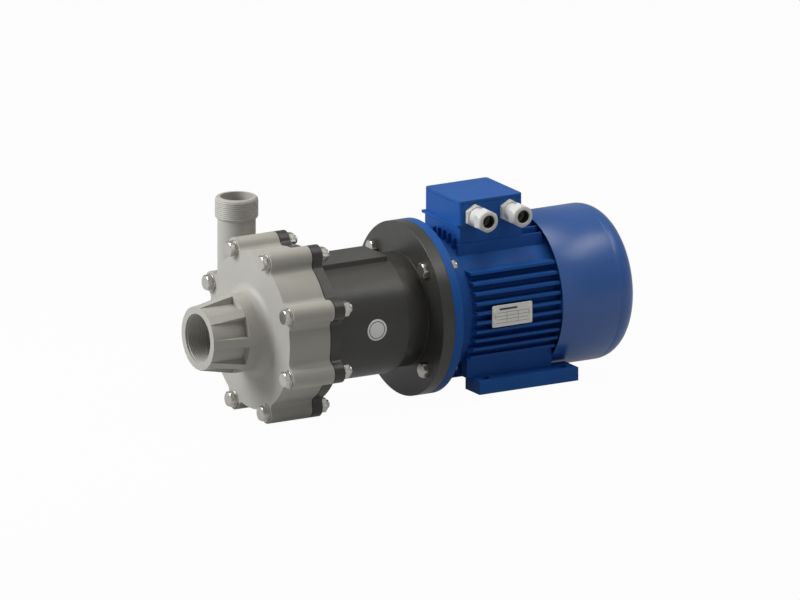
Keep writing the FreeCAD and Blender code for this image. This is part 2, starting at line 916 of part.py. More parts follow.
def impeller():
    piece = Piece("impeller")
    bore = bushing_radius
    reach = S.impeller_d / 2
    nose = bore + S.shroud_thickness / 2
    piece.turn((bushing_front, bore), (bushing_front, nose), (front_shroud_back, nose),
               (back_shroud_front, S.neck_d / 2), (back_shroud_front, reach), (impeller_back, reach),
               (impeller_back, S.neck_d / 2), (neck_back, S.neck_d / 2), (neck_back, bore))
    eye = S.eye_d / 2
    eye_front = volute_front - S.eye_length + S.impeller_gap
    front_face = front_shroud_back - S.shroud_thickness
    piece.turn((eye_front, eye - S.eye_wall), (eye_front, eye), (front_face - S.shroud_slope, eye),
               (front_face, reach), (front_shroud_back, reach),
               (front_shroud_back - S.shroud_slope, eye - S.eye_wall))
    vane = piece.pad("X", front_shroud_back - S.shroud_slope, back_shroud_front + S.overlap,
                     curved_vane(S.vane_inlet_d / 2, reach, S.vane_centre_radius, S.vane_radius,
                                 S.vane_thickness))
    piece.around(S.vanes, vane)


def inner_magnets():
    outer = can_inner - S.capsule_gap
    magnet_outer = outer - S.capsule_wall
    magnet_inner = magnet_outer - S.inner_magnet_depth
    magnet_front = neck_back + S.capsule_wall + S.free_gap
    cover_front = capsule_back - S.capsule_cover
    capsule = Piece("inner_magnet_capsule")
    capsule.turn((neck_back, bushing_radius), (neck_back, outer), (cover_front, outer),
                 (cover_front, magnet_outer), (magnet_front, magnet_outer), (magnet_front, magnet_inner),
                 (cover_front, magnet_inner), (cover_front, bushing_radius))
    ring("capsule_cover", cover_front, capsule_back, bushing_radius, outer)
    magnet_ring("inner_magnets", magnet_front + S.snug_fit, magnet_front + S.magnet_length,
                magnet_inner + S.snug_fit, magnet_outer - S.snug_fit)
    ring("impeller_bushing", bushing_front, bushing_back, spindle_radius + S.running_fit,
         bushing_radius - S.snug_fit)


# Outer magnet bell on the motor shaft

def outer_magnet_bell():
    web_front = joint_x + S.can_length + S.bell_web_gap
    web_back = web_front + S.bell_web
    rim_front = web_back - S.bell_length
    hub_back = -S.hub_end_gap
    bore = S.shaft_end_d / 2 + S.snug_fit
    hub = Piece("outer_magnet_hub")
    hub.turn((web_front, bore), (web_front, bell_inner), (rim_front, bell_inner),
             (rim_front, bell_radius), (web_back, bell_radius), (web_back, S.hub_d / 2),
             (hub_back, S.hub_d / 2), (hub_back, bore))
    half_key = S.key_width / 2
    key_top = S.shaft_end_d / 2 - S.keyway_depth + S.key_height
    hub.cut("X", web_front, hub_back,
            rectangle(-half_key, bore - S.overlap, half_key, key_top + S.snug_fit))
    screw_radius = S.hub_screw_d / 2
    hub.cut("Z", -S.hub_d / 2, -bore + S.overlap, circle(-S.hub_screw_place, 0, screw_radius + S.snug_fit))
    screw = Piece("hub_set_screw")
    screw.pad("Z", -S.hub_d / 2 + S.free_gap, -bore, circle(-S.hub_screw_place, 0, screw_radius))

    magnet_front = rim_front + S.free_gap
    magnet_ring("drive_magnets", magnet_front, magnet_front + S.magnet_length,
                bell_inner - S.drive_magnet_depth, bell_inner - S.snug_fit)

    key_start = -(S.shaft_end_length + S.key_length) / 2
    key = Piece("hub_key")
    key.pad("X", key_start + S.snug_fit, key_start + S.key_length - S.snug_fit,
            rectangle(-half_key + S.snug_fit, S.shaft_end_d / 2 - S.keyway_depth + S.snug_fit,
                      half_key - S.snug_fit, key_top))


# Bracket

def bracket():
    piece = Piece("bracket")
    bore = bell_radius + S.bell_clearance / 2
    neck = bore + S.bracket_neck_wall
    flange_front = -S.bracket_flange_thickness
    neck_front = flange_front - S.bracket_neck_length
    barrel_front = lobe_flange_back - S.overlap
    lobed_plate(piece, joint_x, lobe_flange_back)
    piece.turn((barrel_front, barrel_inner), (barrel_front, barrel_radius), (neck_front, barrel_radius),
               (neck_front, neck), (flange_front, neck), (flange_front, S.flange_d / 2),
               (0, S.flange_d / 2), (0, bore), (neck_front, bore),
               (neck_front - S.barrel_wall, barrel_inner))
    piece.pad("X", barrel_front, neck_front - S.pad_end_gap,
              rectangle(-S.pad_half_width, barrel_inner + S.overlap, S.pad_half_width,
                        barrel_radius + S.pad_rise))
    piece.cut("X", joint_x, neck_front - S.barrel_wall, circle(0, 0, barrel_inner))
    recess = S.spigot_depth + S.snug_fit
    piece.cut("X", -recess, dim(0), circle(0, 0, S.spigot_d / 2 + S.snug_fit))
    lobe_holes(piece, joint_x, lobe_flange_back)
    flange_holes(piece, flange_front, dim(0))


def bracket_label():
    piece = Piece("bracket_label")
    half = S.label_d / 2
    low, high = -S.label_place - S.label_d, -S.label_place + S.label_d
    back = barrel_radius + S.snug_fit
    face = barrel_radius + S.label_thickness
    waste = barrel_radius + half
    piece.pad("Y", -face - S.overlap, S.overlap - side_of(barrel_radius, half),
              circle(-S.label_place, 0, half))
    piece.groove((low, 0), (low, back), (high, back), (high, 0))
    piece.groove((low, face), (low, waste), (high, waste), (high, face))


def flange_joint():
    head_x = -S.bracket_flange_thickness - S.bolt_head_height
    nut_low = S.flange_thickness + S.washer_thickness
    bolts("flange_bolts", flange_centre, dim(4), head_x, S.bolt_head_height,
          nut_low + S.nut_height + S.bolt_stub)
    washers("flange_washers", flange_centre, dim(4), S.flange_thickness)
    nuts("flange_nuts", flange_centre, dim(4), nut_low)


# Motor

def motor_frame():
    piece = Piece("motor_frame")
    piece.pad("X", S.frame_start, frame_end, circle(0, 0, tube_radius))
    reach = S.fin_reach_d / 2
    half = S.fin_thickness / 2
    sides = []
    for number in range(int(S.side_fins.value)):
        up = (number - (S.side_fins - 1) / 2) * S.side_fin_pitch
        foot = side_of(tube_radius, up) - S.fin_thickness
        sides.append(rectangle(foot, up - half, side_of(reach, up), up + half))
    side_fins = piece.pad("X", S.frame_start, frame_end, *sides)
    piece.mirror("XZ_Plane", side_fins)
    tops = []
    for number in range(int(S.top_fins.value)):
        across = (number - (S.top_fins - 1) / 2) * S.top_fin_pitch
        foot = side_of(tube_radius, across) - S.fin_thickness
        tops.append(rectangle(across - half, foot, across + half, side_of(reach, across)))
    top_fins = piece.pad("X", S.frame_start, frame_end, *tops)
    piece.mirror("XY_Plane", top_fins)
    piece.pad("X", box_start, box_end,
              rectangle(-S.seat_half_width, tube_radius / 2, S.seat_half_width, S.seat_height))
    foot_pads(piece)
    piece.cut("X", S.frame_start, frame_end, circle(0, 0, frame_bore))
    piece.cut("Z", frame_bore - S.overlap, S.seat_height, lead_hole())
    rod = piece.cut("X", S.frame_start, frame_end, circle(*tie_rod_centre, S.tie_rod_d / 2 + S.snug_fit))
    piece.around(S.tie_rods, rod)
    box_screw_holes(piece, S.seat_height - S.box_screw_depth, S.seat_height)


tie_rod_radius = tube_radius - S.frame_wall / 2
tie_rod_centre = (tie_rod_radius * sine(45), tie_rod_radius * cosine(45))

foot_start = S.foot_shoulder - S.foot_margin
foot_end = S.foot_shoulder + S.foot_pitch + S.foot_margin
foot_inner = S.foot_outer_reach - S.foot_depth
foot_top = -S.axis_height + S.foot_thickness
pad_start = S.frame_start + S.foot_pad_inset
pad_end = pad_start + S.foot_pad_length
foot_screw_places = (pad_start + S.foot_screw_inset, pad_end - S.foot_screw_inset)
foot_screw_across = foot_inner + S.foot_pad_depth / 2


def foot_pads(piece):
    """Pads under the frame tube that the feet are screwed to."""
    pad = piece.pad("Z", foot_top, -tube_radius / 2,
                    rectangle(pad_start, foot_inner, pad_end, foot_inner + S.foot_pad_depth))
    piece.mirror("XZ_Plane", pad)
    radius = S.foot_screw_d / 2 + S.snug_fit
    holes = [circle(x, foot_screw_across, radius) for x in foot_screw_places]
    hole = piece.cut("Z", foot_top, foot_top + S.foot_screw_grip, *holes)
    piece.mirror("XZ_Plane", hole)


def foot(node, side):
    """One foot: a slab with cut corners, two mounting holes and two counterbored screw holes."""
    piece = Piece(node)
    start, end = foot_start, foot_end
    corner = S.foot_corner
    inner, outer = side * foot_inner, side * S.foot_outer_reach
    piece.pad("Z", -S.axis_height, foot_top,
              outline((start, inner), (end, inner), (end, outer - side * corner), (end - corner, outer),
                      (start + corner, outer), (start, outer - side * corner)))
    hole_x = (S.foot_shoulder, S.foot_shoulder + S.foot_pitch)
    piece.cut("Z", -S.axis_height, foot_top,
              *[circle(x, side * S.foot_gauge / 2, S.foot_hole_d / 2) for x in hole_x])
    across = side * foot_screw_across
    piece.cut("Z", -S.axis_height, foot_top,
              *[circle(x, across, S.foot_screw_d / 2 + S.snug_fit) for x in foot_screw_places])
    head_top = -S.axis_height + S.foot_screw_head_height + S.free_gap
    piece.cut("Z", -S.axis_height, head_top,
              *[circle(x, across, S.foot_screw_head_d / 2 + S.snug_fit) for x in foot_screw_places])


def foot_screws():
    piece = Piece("foot_screws")
    low = -S.axis_height + S.free_gap
    head_top = low + S.foot_screw_head_height
    heads = piece.pad("Z", low, head_top,
                      *[circle(x, foot_screw_across, S.foot_screw_head_d / 2) for x in foot_screw_places])
    shanks = piece.pad("Z", head_top, foot_top + S.foot_screw_grip - S.free_gap,
                       *[circle(x, foot_screw_across, S.foot_screw_d / 2) for x in foot_screw_places])
    piece.mirror("XZ_Plane", heads, shanks)


def drive_end_shield():
    piece = Piece("drive_end_shield")
    wall = S.shield_wall
    seal_seat = S.seal_d / 2
    seal_end = S.seal_start + S.seal_width
    seat = S.bearing_d / 2
    boss = seat + wall
    spigot = frame_bore - S.snug_fit
    spigot_end = S.frame_start + S.shield_spigot_length
    bore = S.bearing_bore / 2 + S.free_gap
    piece.turn((-S.spigot_depth, bore), (-S.spigot_depth, S.spigot_d / 2), (0, S.spigot_d / 2),
               (0, S.flange_d / 2), (S.flange_thickness, S.flange_d / 2),
               (S.flange_thickness, S.shield_neck_d / 2), (S.frame_start, tube_radius),
               (S.frame_start, spigot), (spigot_end, spigot), (spigot_end, spigot - wall / 2),
               (S.flange_thickness, S.shield_neck_d / 2 - wall), (S.flange_thickness, boss),
               (drive_bearing_end, boss), (drive_bearing_end, seat), (S.drive_bearing_start, seat),
               (S.drive_bearing_start, seal_seat), (S.seal_start, seal_seat), (S.seal_start, bore))
    flange_holes(piece, dim(0), S.flange_thickness)
    rod = piece.cut("X", S.frame_start - wall, S.frame_start,
                    circle(*tie_rod_centre, S.tie_rod_d / 2 + S.snug_fit))
    piece.around(S.tie_rods, rod)
    ring("shaft_seal", S.seal_start, seal_end, S.bearing_bore / 2 + S.running_fit,
         seal_seat - S.snug_fit)


def fan_end_shield():
    piece = Piece("fan_end_shield")
    seat = S.bearing_d / 2
    boss = seat + S.shield_wall
    spigot = frame_bore - S.snug_fit
    start = frame_end - S.shield_spigot_length
    rim_end = frame_end + S.end_shield_depth
    web_front = fan_bearing_start - S.free_gap
    washer_end = fan_bearing_end + S.wave_washer_thickness
    boss_end = washer_end + S.shield_wall / 2
    bore = S.bearing_bore / 2 + S.free_gap
    piece.turn((start, spigot - S.shield_wall / 2), (start, spigot), (frame_end, spigot),
               (frame_end, tube_radius), (rim_end, tube_radius), (rim_end, boss), (boss_end, boss),
               (boss_end, bore), (washer_end, bore), (washer_end, seat), (web_front, seat),
               (web_front, spigot - S.shield_wall / 2))
    lug_end = frame_end + S.cowl_lug_length
    cowl_inner = S.cowl_d / 2 - S.cowl_wall - S.snug_fit
    lug = piece.pad("X", frame_end, lug_end,
                    rectangle(-S.cowl_lug_width / 2, tube_radius - S.frame_wall, S.cowl_lug_width / 2,
                              cowl_inner + S.overlap))
    piece.around(S.cowl_lugs, lug)
    waste = cowl_inner + S.cowl_lug_length
    piece.groove((frame_end, cowl_inner), (frame_end, waste), (lug_end, waste), (lug_end, cowl_inner))
    cowl_screw_holes(piece, tube_radius, cowl_inner)
    rod = piece.cut("X", frame_end, rim_end, circle(*tie_rod_centre, S.tie_rod_d / 2 + S.snug_fit))
    piece.around(S.tie_rods, rod)
    ring("wave_washer", fan_bearing_end, washer_end, S.outer_land_d / 2, seat - S.snug_fit)


cowl_screw_x = frame_end + S.cowl_lug_length / 2


def cowl_screw_holes(piece, low, high):
    """Two of the lugs take a screw: the lowest one, and the one on the far side."""
    hole = piece.cut("Z", -high, -low, circle(cowl_screw_x, 0, S.cowl_screw_d / 2 + S.snug_fit))
    piece.around(S.cowl_screws, hole, turn=90)


def tie_rods():
    piece = Piece("tie_rods")
    rim_end = frame_end + S.end_shield_depth
    head = piece.pad("X", rim_end, rim_end + S.tie_rod_head_height,
                     circle(*tie_rod_centre, S.tie_rod_head_d / 2))
    rod = piece.pad("X", S.frame_start - S.shield_wall + S.free_gap, rim_end,
                    circle(*tie_rod_centre, S.tie_rod_d / 2))
    piece.around(S.tie_rods, head, rod)


def stator():
    bore = S.rotor_d / 2 + S.air_gap
    slot_low = bore + S.slot_bottom
    slot_high = slot_low + S.slot_depth
    core = ring("stator_core", stator_start, stator_end, bore, frame_bore - S.snug_fit)
    half = S.slot_width / 2
    slot = core.cut("X", stator_start, stator_end, rectangle(-half, slot_low, half, slot_high))
    core.around(S.slots, slot)

    windings = Piece("stator_windings")
    low = slot_low + S.snug_fit
    high = slot_high - S.snug_fit
    for start in (stator_start - S.winding_overhang, stator_end):
        end = start + S.winding_overhang
        windings.turn((start, low + S.winding_inset), (start, high - S.winding_inset),
                      (start + S.winding_inset, high), (end - S.winding_inset, high),
                      (end, high - S.winding_inset), (end, low + S.winding_inset),
                      (end - S.winding_inset, low), (start + S.winding_inset, low))
    bar = windings.pad("X", stator_start - S.overlap, stator_end + S.overlap,
                       rectangle(-half + S.snug_fit, low + S.winding_inset, half - S.snug_fit,
                                 high - S.winding_inset))
    windings.around(S.slots, bar)


def rotor():
    core_bore = S.shaft_core_d / 2 + S.snug_fit
    ring("rotor_core", stator_start, stator_end, core_bore, S.rotor_d / 2)
    cage = Piece("rotor_cage")
    outer = S.rotor_d / 2 - S.free_gap
    inner = outer - S.cage_ring_depth
    for low, high in ((stator_start - S.cage_ring_length, stator_start),
                      (stator_end, stator_end + S.cage_ring_length)):
        cage.turn((low, inner), (low, outer), (high, outer), (high, inner))

    shaft = Piece("motor_shaft")
    end = S.shaft_end_d / 2
    seat = S.bearing_bore / 2
    core = S.shaft_core_d / 2
    tail = S.shaft_fan_d / 2
    tail_end = fan_bearing_end + S.wave_washer_thickness + S.shaft_fan_length
    front = -S.shaft_end_length
    seat_end = fan_bearing_end + S.free_gap
    edge = S.edge_break
    shaft.turn((front, 0), (front, end - edge), (front + edge, end), (0, end), (0, seat),
               (drive_bearing_end, seat), (drive_bearing_end, core), (fan_bearing_start, core),
               (fan_bearing_start, seat), (seat_end, seat), (seat_end, tail), (tail_end - edge, tail),
               (tail_end, tail - edge), (tail_end, 0))
    key_start = -(S.shaft_end_length + S.key_length) / 2
    shaft.cut("X", key_start, key_start + S.key_length,
              rectangle(-S.key_width / 2, end - S.keyway_depth, S.key_width / 2, end + S.overlap))


def cooling_fan():
    piece = Piece("cooling_fan")
    bore = S.shaft_fan_d / 2 + S.snug_fit
    disc_end = fan_start + S.fan_disc_thickness
    end = fan_start + S.fan_width
    piece.turn((fan_start, bore), (fan_start, S.fan_disc_d / 2), (disc_end, S.fan_disc_d / 2),
               (disc_end, S.fan_hub_d / 2), (end, S.fan_hub_d / 2), (end, bore))
    half = S.fan_blade_thickness / 2
    hub_reach = S.fan_hub_d / 2 - S.overlap
    blade = piece.pad("Y", -half, half,
                      outline((fan_start, hub_reach), (fan_start, S.fan_disc_d / 2),
                              (disc_end + S.fan_disc_thickness, S.fan_d / 2), (end, S.fan_d / 2),
                              (end, hub_reach)))
    piece.around(S.fan_blades, blade)


def fan_cowl():
    piece = Piece("fan_cowl")
    outer = S.cowl_d / 2
    inner = outer - S.cowl_wall
    end = frame_end + S.cowl_length
    inner_end = end - S.cowl_wall
    piece.turn((frame_end, 0), (frame_end, outer), (end, outer), (end, 0))
    piece.fillet(S.cowl_corner_radius, circle_edge(end, outer))
    corner = S.cowl_corner_radius - S.cowl_wall
    piece.groove((frame_end, 0), (frame_end, inner), (inner_end, inner), (inner_end, 0))
    piece.turn(*bent_corner(inner_end, inner, corner, outer, end))
    slots = []
    for number in range(int(S.grille_rings.value)):
        low = S.grille_first_radius + number * S.grille_ring_pitch
        slots.append(sector(low, low + S.grille_slot_width, S.grille_slot_half_angle))
    slot = piece.cut("X", inner_end, end, *slots)
    piece.around(S.grille_slots, slot)
    cowl_screw_holes(piece, inner - S.overlap, outer)

    screws = Piece("cowl_screws")
    head = screws.pad("Z", -outer - S.cowl_screw_head_height, -outer,
                      circle(cowl_screw_x, 0, S.cowl_screw_head_d / 2))
    shank = screws.pad("Z", -outer, -tube_radius - S.free_gap, circle(cowl_screw_x, 0, S.cowl_screw_d / 2))
    screws.around(S.cowl_screws, head, shank, turn=90)


def bent_corner(inner_end, inner, corner, outer, end):
    """Corners (x, radius) that fill the inside of the rounded edge to the thickness of the sheet."""
    steps = 6
    curve = []
    for number in range(steps + 1):
        angle = 90 * number / steps
        curve.append((inner_end - corner + corner * sine(angle), inner - corner + corner * cosine(angle)))
    shift = S.cowl_wall / 2
    back = []
    for across, up in reversed(curve[1:-1]):
        back.append((across + shift, up + shift))
    return curve + [(inner_end + shift, inner - corner)] + back + [(inner_end - corner, inner + shift)]


# Terminal box

box_half_width = S.seat_half_width + S.box_overhang
box_floor = S.seat_height + S.gasket_thickness
box_top = S.seat_height + S.box_height
lid_low = box_top - S.lid_thickness
gland_height = box_floor + S.gland_rise
gland_places = (box_start + S.gland_inset, box_start + S.gland_inset + S.gland_pitch)
gland_inner_end = -box_half_width + S.box_wall + S.gland_flange
box_screw_places = [(x, y) for x in (box_start + S.box_screw_inset, box_end - S.box_screw_inset)
                    for y in (-(S.seat_half_width - S.box_screw_inset),
                              S.seat_half_width - S.box_screw_inset)]


def box_screw_holes(piece, low, high):
    radius = S.box_screw_d / 2 + S.snug_fit
    piece.cut("Z", low, high, *[circle(x, y, radius) for x, y in box_screw_places])


def box_edges(edge):
    vertical = isinstance(edge.Curve, Part.Line) and abs(edge.Curve.Direction.z) > 1 - NEAR
    middle = edge.CenterOfMass
    at_corner = near(abs(middle.y), box_half_width)
    return vertical and at_corner and (near(middle.x, box_start) or near(middle.x, box_end))


def lead_hole():
    middle = box_start + S.box_length / 2
    return rectangle(middle - S.lead_hole_length / 2, -S.lead_hole_width / 2,
                     middle + S.lead_hole_length / 2, S.lead_hole_width / 2)


def terminal_box():
    half = box_half_width
    gasket = Piece("box_gasket")
    gasket.pad("Z", S.seat_height, box_floor,
               rectangle(box_start, -S.seat_half_width, box_end, S.seat_half_width), lead_hole())
    box_screw_holes(gasket, S.seat_height, box_floor)

    box = Piece("terminal_box")
    box.pad("Z", box_floor, lid_low, rectangle(box_start, -half, box_end, half))
    box.fillet(S.box_corner_radius, box_edges)
    box.pad("Z", box_floor, box_floor + S.box_lip_height,
            rectangle(box_start - S.box_lip, -half, box_start + S.box_corner_radius, half))
    wall = S.box_wall
    box.cut("Z", box_floor + wall, lid_low,
            rectangle(box_start + wall, -half + wall, box_end - wall, half - wall))
    box.cut("Z", box_floor, box_floor + wall, lead_hole())
    box_screw_holes(box, box_floor, box_floor + wall)
    gland_hole = S.gland_thread_d / 2 + S.running_fit
    box.cut("Y", -half, gland_inner_end + S.free_gap,
            *[circle(x, gland_height, gland_hole) for x in gland_places])

    lid = Piece("terminal_box_lid")
    lid.pad("Z", lid_low, box_top, rectangle(box_start, -half, box_end, half))
    lid.fillet(S.box_corner_radius, box_edges)
    lip = wall + S.running_fit
    lid.pad("Z", lid_low - S.lid_lip_depth, lid_low,
            rectangle(box_start + lip, -half + lip, box_end - lip, half - lip),
            rectangle(box_start + lip + wall, -half + lip + wall, box_end - lip - wall,
                      half - lip - wall))


def box_contents():
    screws = Piece("box_screws")
    head_low = box_floor + S.box_wall
    screws.pad("Z", head_low, head_low + S.box_screw_d,
               *[circle(x, y, S.box_screw_head_d / 2) for x, y in box_screw_places])
    screws.pad("Z", S.seat_height - S.box_screw_depth + S.free_gap, head_low,
               *[circle(x, y, S.box_screw_d / 2) for x, y in box_screw_places])

    middle = box_start + S.box_length / 2
    block_low = box_floor + S.box_wall
    block_top = block_low + S.block_height
    block = Piece("terminal_block")
    block.pad("Z", block_low, block_top,
              rectangle(middle - S.block_length / 2, -S.block_width / 2, middle + S.block_length / 2,
                        S.block_width / 2))
    places = [(middle + number * S.terminal_pitch, side * S.terminal_pitch / 2)
              for number in (-1, 0, 1) for side in (-1, 1)]
    block.cut("Z", block_top - S.terminal_height / 2, block_top,
              *[circle(x, y, S.terminal_d / 2 + S.snug_fit) for x, y in places])
    studs = Piece("terminal_studs")
    studs.pad("Z", block_top - S.terminal_height / 2, block_top + S.terminal_height,
              *[circle(x, y, S.terminal_d / 2) for x, y in places])
    studs.pad("Z", block_top, block_top + S.terminal_height / 2,
              *[hexagon(x, y, S.terminal_nut_d) for x, y in places])


def cable_glands():
    face = -box_half_width
    flange_end = face - S.gland_flange
    neck_end = flange_end - S.gland_neck_length
    nut_end = neck_end - S.gland_nut_length
    bore = S.gland_bore / 2
    thread = S.gland_thread_d / 2
    height = gland_height
    body = Piece("gland_bodies")
    inner_end = gland_inner_end
    body.pad("Y", flange_end, face, *[hexagon(x, height, S.gland_flats, 30) for x in gland_places])
    body.pad("Y", neck_end, flange_end, *[circle(x, height, S.gland_neck_d / 2) for x in gland_places])
    body.pad("Y", face, inner_end, *[circle(x, height, thread) for x in gland_places])
    core_end = neck_end - S.gland_nut_length / 2
    sleeve = thread - S.gland_seal_wall
    body.pad("Y", core_end, neck_end, *[circle(x, height, sleeve) for x in gland_places])
    body.cut("Y", core_end, inner_end, *[circle(x, height, bore) for x in gland_places])

    nut = Piece("gland_nuts")
    nut.pad("Y", core_end, neck_end, *[hexagon(x, height, S.gland_nut_flats, 30) for x in gland_places])
    nut.pad("Y", nut_end, core_end, *[circle(x, height, S.gland_nut_flats / 2) for x in gland_places])
    nut.cut("Y", core_end, neck_end, *[circle(x, height, sleeve + S.snug_fit) for x in gland_places])
    nut.cut("Y", nut_end, core_end,
            *[circle(x, height, bore + S.gland_seal_wall) for x in gland_places])

    seal = Piece("gland_seals")
    seal_end = nut_end + S.gland_seal_wall
    seal.pad("Y", seal_end, core_end - S.snug_fit,
             *[circle(x, height, bore + S.gland_seal_wall - S.snug_fit) for x in gland_places])
    seal.cut("Y", seal_end, core_end - S.snug_fit, *[circle(x, height, bore) for x in gland_places])


def nameplate():
    reach = S.fin_reach_d / 2
    half = S.side_fin_pitch / 2
    tip = -side_of(reach, half)
    plate_start = S.frame_start + S.plate_place
    plate_end = plate_start + S.plate_length
    low = -S.plate_height / 2
    plate = Piece("nameplate")
    plate.pad("Y", tip - S.plate_thickness - S.snug_fit, tip - S.snug_fit,
              rectangle(plate_start, low, plate_end, -low))
    places = [(x, up) for x in (plate_start + S.plate_inset, plate_end - S.plate_inset)
              for up in (-half, half)]
    plate.cut("Y", tip - S.plate_thickness - S.snug_fit, tip - S.snug_fit,
              *[circle(x, up, S.rivet_d / 2 + S.snug_fit) for x, up in places])
    rivets = Piece("nameplate_rivets")
    face = tip - S.plate_thickness - S.snug_fit
    rivets.pad("Y", face - S.plate_thickness, face, *[circle(x, up, S.rivet_d) for x, up in places])
    rivets.pad("Y", face, tip, *[circle(x, up, S.rivet_d / 2) for x, up in places])


volute_casing()
casing_joint()
containment_shell()
impeller()
inner_magnets()
outer_magnet_bell()
bracket()
bracket_label()
flange_joint()
drive_end_shield()
motor_frame()
foot("near_foot", -1)
foot("far_foot", 1)
foot_screws()
fan_end_shield()
tie_rods()
stator()
rotor()
ball_bearing("drive_bearing", S.drive_bearing_start)
ball_bearing("fan_bearing", fan_bearing_start)
cooling_fan()
fan_cowl()
terminal_box()
box_contents()
cable_glands()
nameplate()

# Every sub-part is moved from the shaft line to the frame of the whole pump
for body in pieces:
    bind(body, "Placement.Base.x", -(S.foot_shoulder + S.foot_pitch / 2))
    bind(body, "Placement.Base.z", S.axis_height)
doc.recompute()

for item in doc.Objects:
    if {"Invalid", "Error"} & set(item.State):
        raise RuntimeError(f"{item.Label} failed: {item.State}")
    if item.TypeId in ("PartDesign::Pocket", "PartDesign::Groove"):
        if item.Shape.Volume >= item.BaseFeature.Shape.Volume - TINY:
            raise RuntimeError(f"{item.Label} cuts nothing")

os.makedirs("parts", exist_ok=True)
for body in pieces:
    if body.Shape.isNull() or not body.Shape.isValid():
        raise RuntimeError(f"{body.Label} has no valid shape")
    body.Shape.exportStep(f"parts/{body.Label}.step")
    print(body.Label, len(body.Shape.Solids), round(body.Shape.Volume))
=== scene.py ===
import json
import math

import bmesh
import bpy
from mathutils import Matrix, Vector

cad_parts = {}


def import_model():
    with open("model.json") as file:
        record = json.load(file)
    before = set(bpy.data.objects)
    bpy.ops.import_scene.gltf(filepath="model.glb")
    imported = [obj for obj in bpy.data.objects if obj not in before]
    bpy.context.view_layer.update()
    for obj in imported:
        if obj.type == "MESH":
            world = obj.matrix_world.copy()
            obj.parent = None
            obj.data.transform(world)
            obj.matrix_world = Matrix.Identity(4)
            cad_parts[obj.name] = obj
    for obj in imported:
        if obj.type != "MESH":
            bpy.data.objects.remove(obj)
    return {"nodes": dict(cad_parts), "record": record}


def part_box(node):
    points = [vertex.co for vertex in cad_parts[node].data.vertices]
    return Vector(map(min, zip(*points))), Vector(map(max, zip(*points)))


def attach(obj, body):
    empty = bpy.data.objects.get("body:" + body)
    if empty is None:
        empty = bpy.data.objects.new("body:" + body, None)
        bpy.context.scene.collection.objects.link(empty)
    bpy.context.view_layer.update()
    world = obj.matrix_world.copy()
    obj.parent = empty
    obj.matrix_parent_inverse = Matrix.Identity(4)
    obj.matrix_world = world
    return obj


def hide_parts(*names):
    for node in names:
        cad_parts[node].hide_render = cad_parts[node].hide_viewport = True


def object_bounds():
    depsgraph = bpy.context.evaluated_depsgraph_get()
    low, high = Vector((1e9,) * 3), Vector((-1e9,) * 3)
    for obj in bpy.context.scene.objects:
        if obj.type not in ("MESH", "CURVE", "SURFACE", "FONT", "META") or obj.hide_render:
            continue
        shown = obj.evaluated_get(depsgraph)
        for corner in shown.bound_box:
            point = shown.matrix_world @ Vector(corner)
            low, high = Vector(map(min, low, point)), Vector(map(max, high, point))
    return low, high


# Magnetic drive pump: finishes, fine shapes, light and camera around the construction model.

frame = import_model()
cad_low, cad_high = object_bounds()
NODES = frame["nodes"]
SLOT_OF = {part["node"]: part["material_slot"] for part in frame["record"]["subparts"]}
STAND = "pump_stand"
MM = 0.001
NEAR = 0.05 * MM    # places nearer than this are the same place

# The shaft line runs along X at this height
AXIS_Z = 90 * MM
SHAFT = Vector((0, 0, AXIS_Z))


# Materials

NOISE_RANGE = (0.3, 0.7)    # where nearly all values of a noise texture lie
PATCH_SCALE = 12            # of the soft colour patches
GLOSS_SPREAD = 0.06         # how far the roughness varies
GLOSS_COARSER = 14          # how much coarser the gloss is than the relief


def graph(material):
    tree = material.node_tree
    return tree.nodes, tree.links, tree.nodes["Principled BSDF"]


def noise(nodes, links, coordinates, scale, detail=3.0, roughness=0.55):
    texture = nodes.new("ShaderNodeTexNoise")
    texture.inputs["Scale"].default_value = scale
    texture.inputs["Detail"].default_value = detail
    texture.inputs["Roughness"].default_value = roughness
    links.new(coordinates, texture.inputs["Vector"])
    return texture.outputs["Fac"]


def ranged(nodes, links, source, low, high):
    step = nodes.new("ShaderNodeMapRange")
    step.inputs["From Min"].default_value = NOISE_RANGE[0]
    step.inputs["From Max"].default_value = NOISE_RANGE[1]
    step.inputs["To Min"].default_value = low
    step.inputs["To Max"].default_value = high
    links.new(source, step.inputs["Value"])
    return step.outputs["Result"]


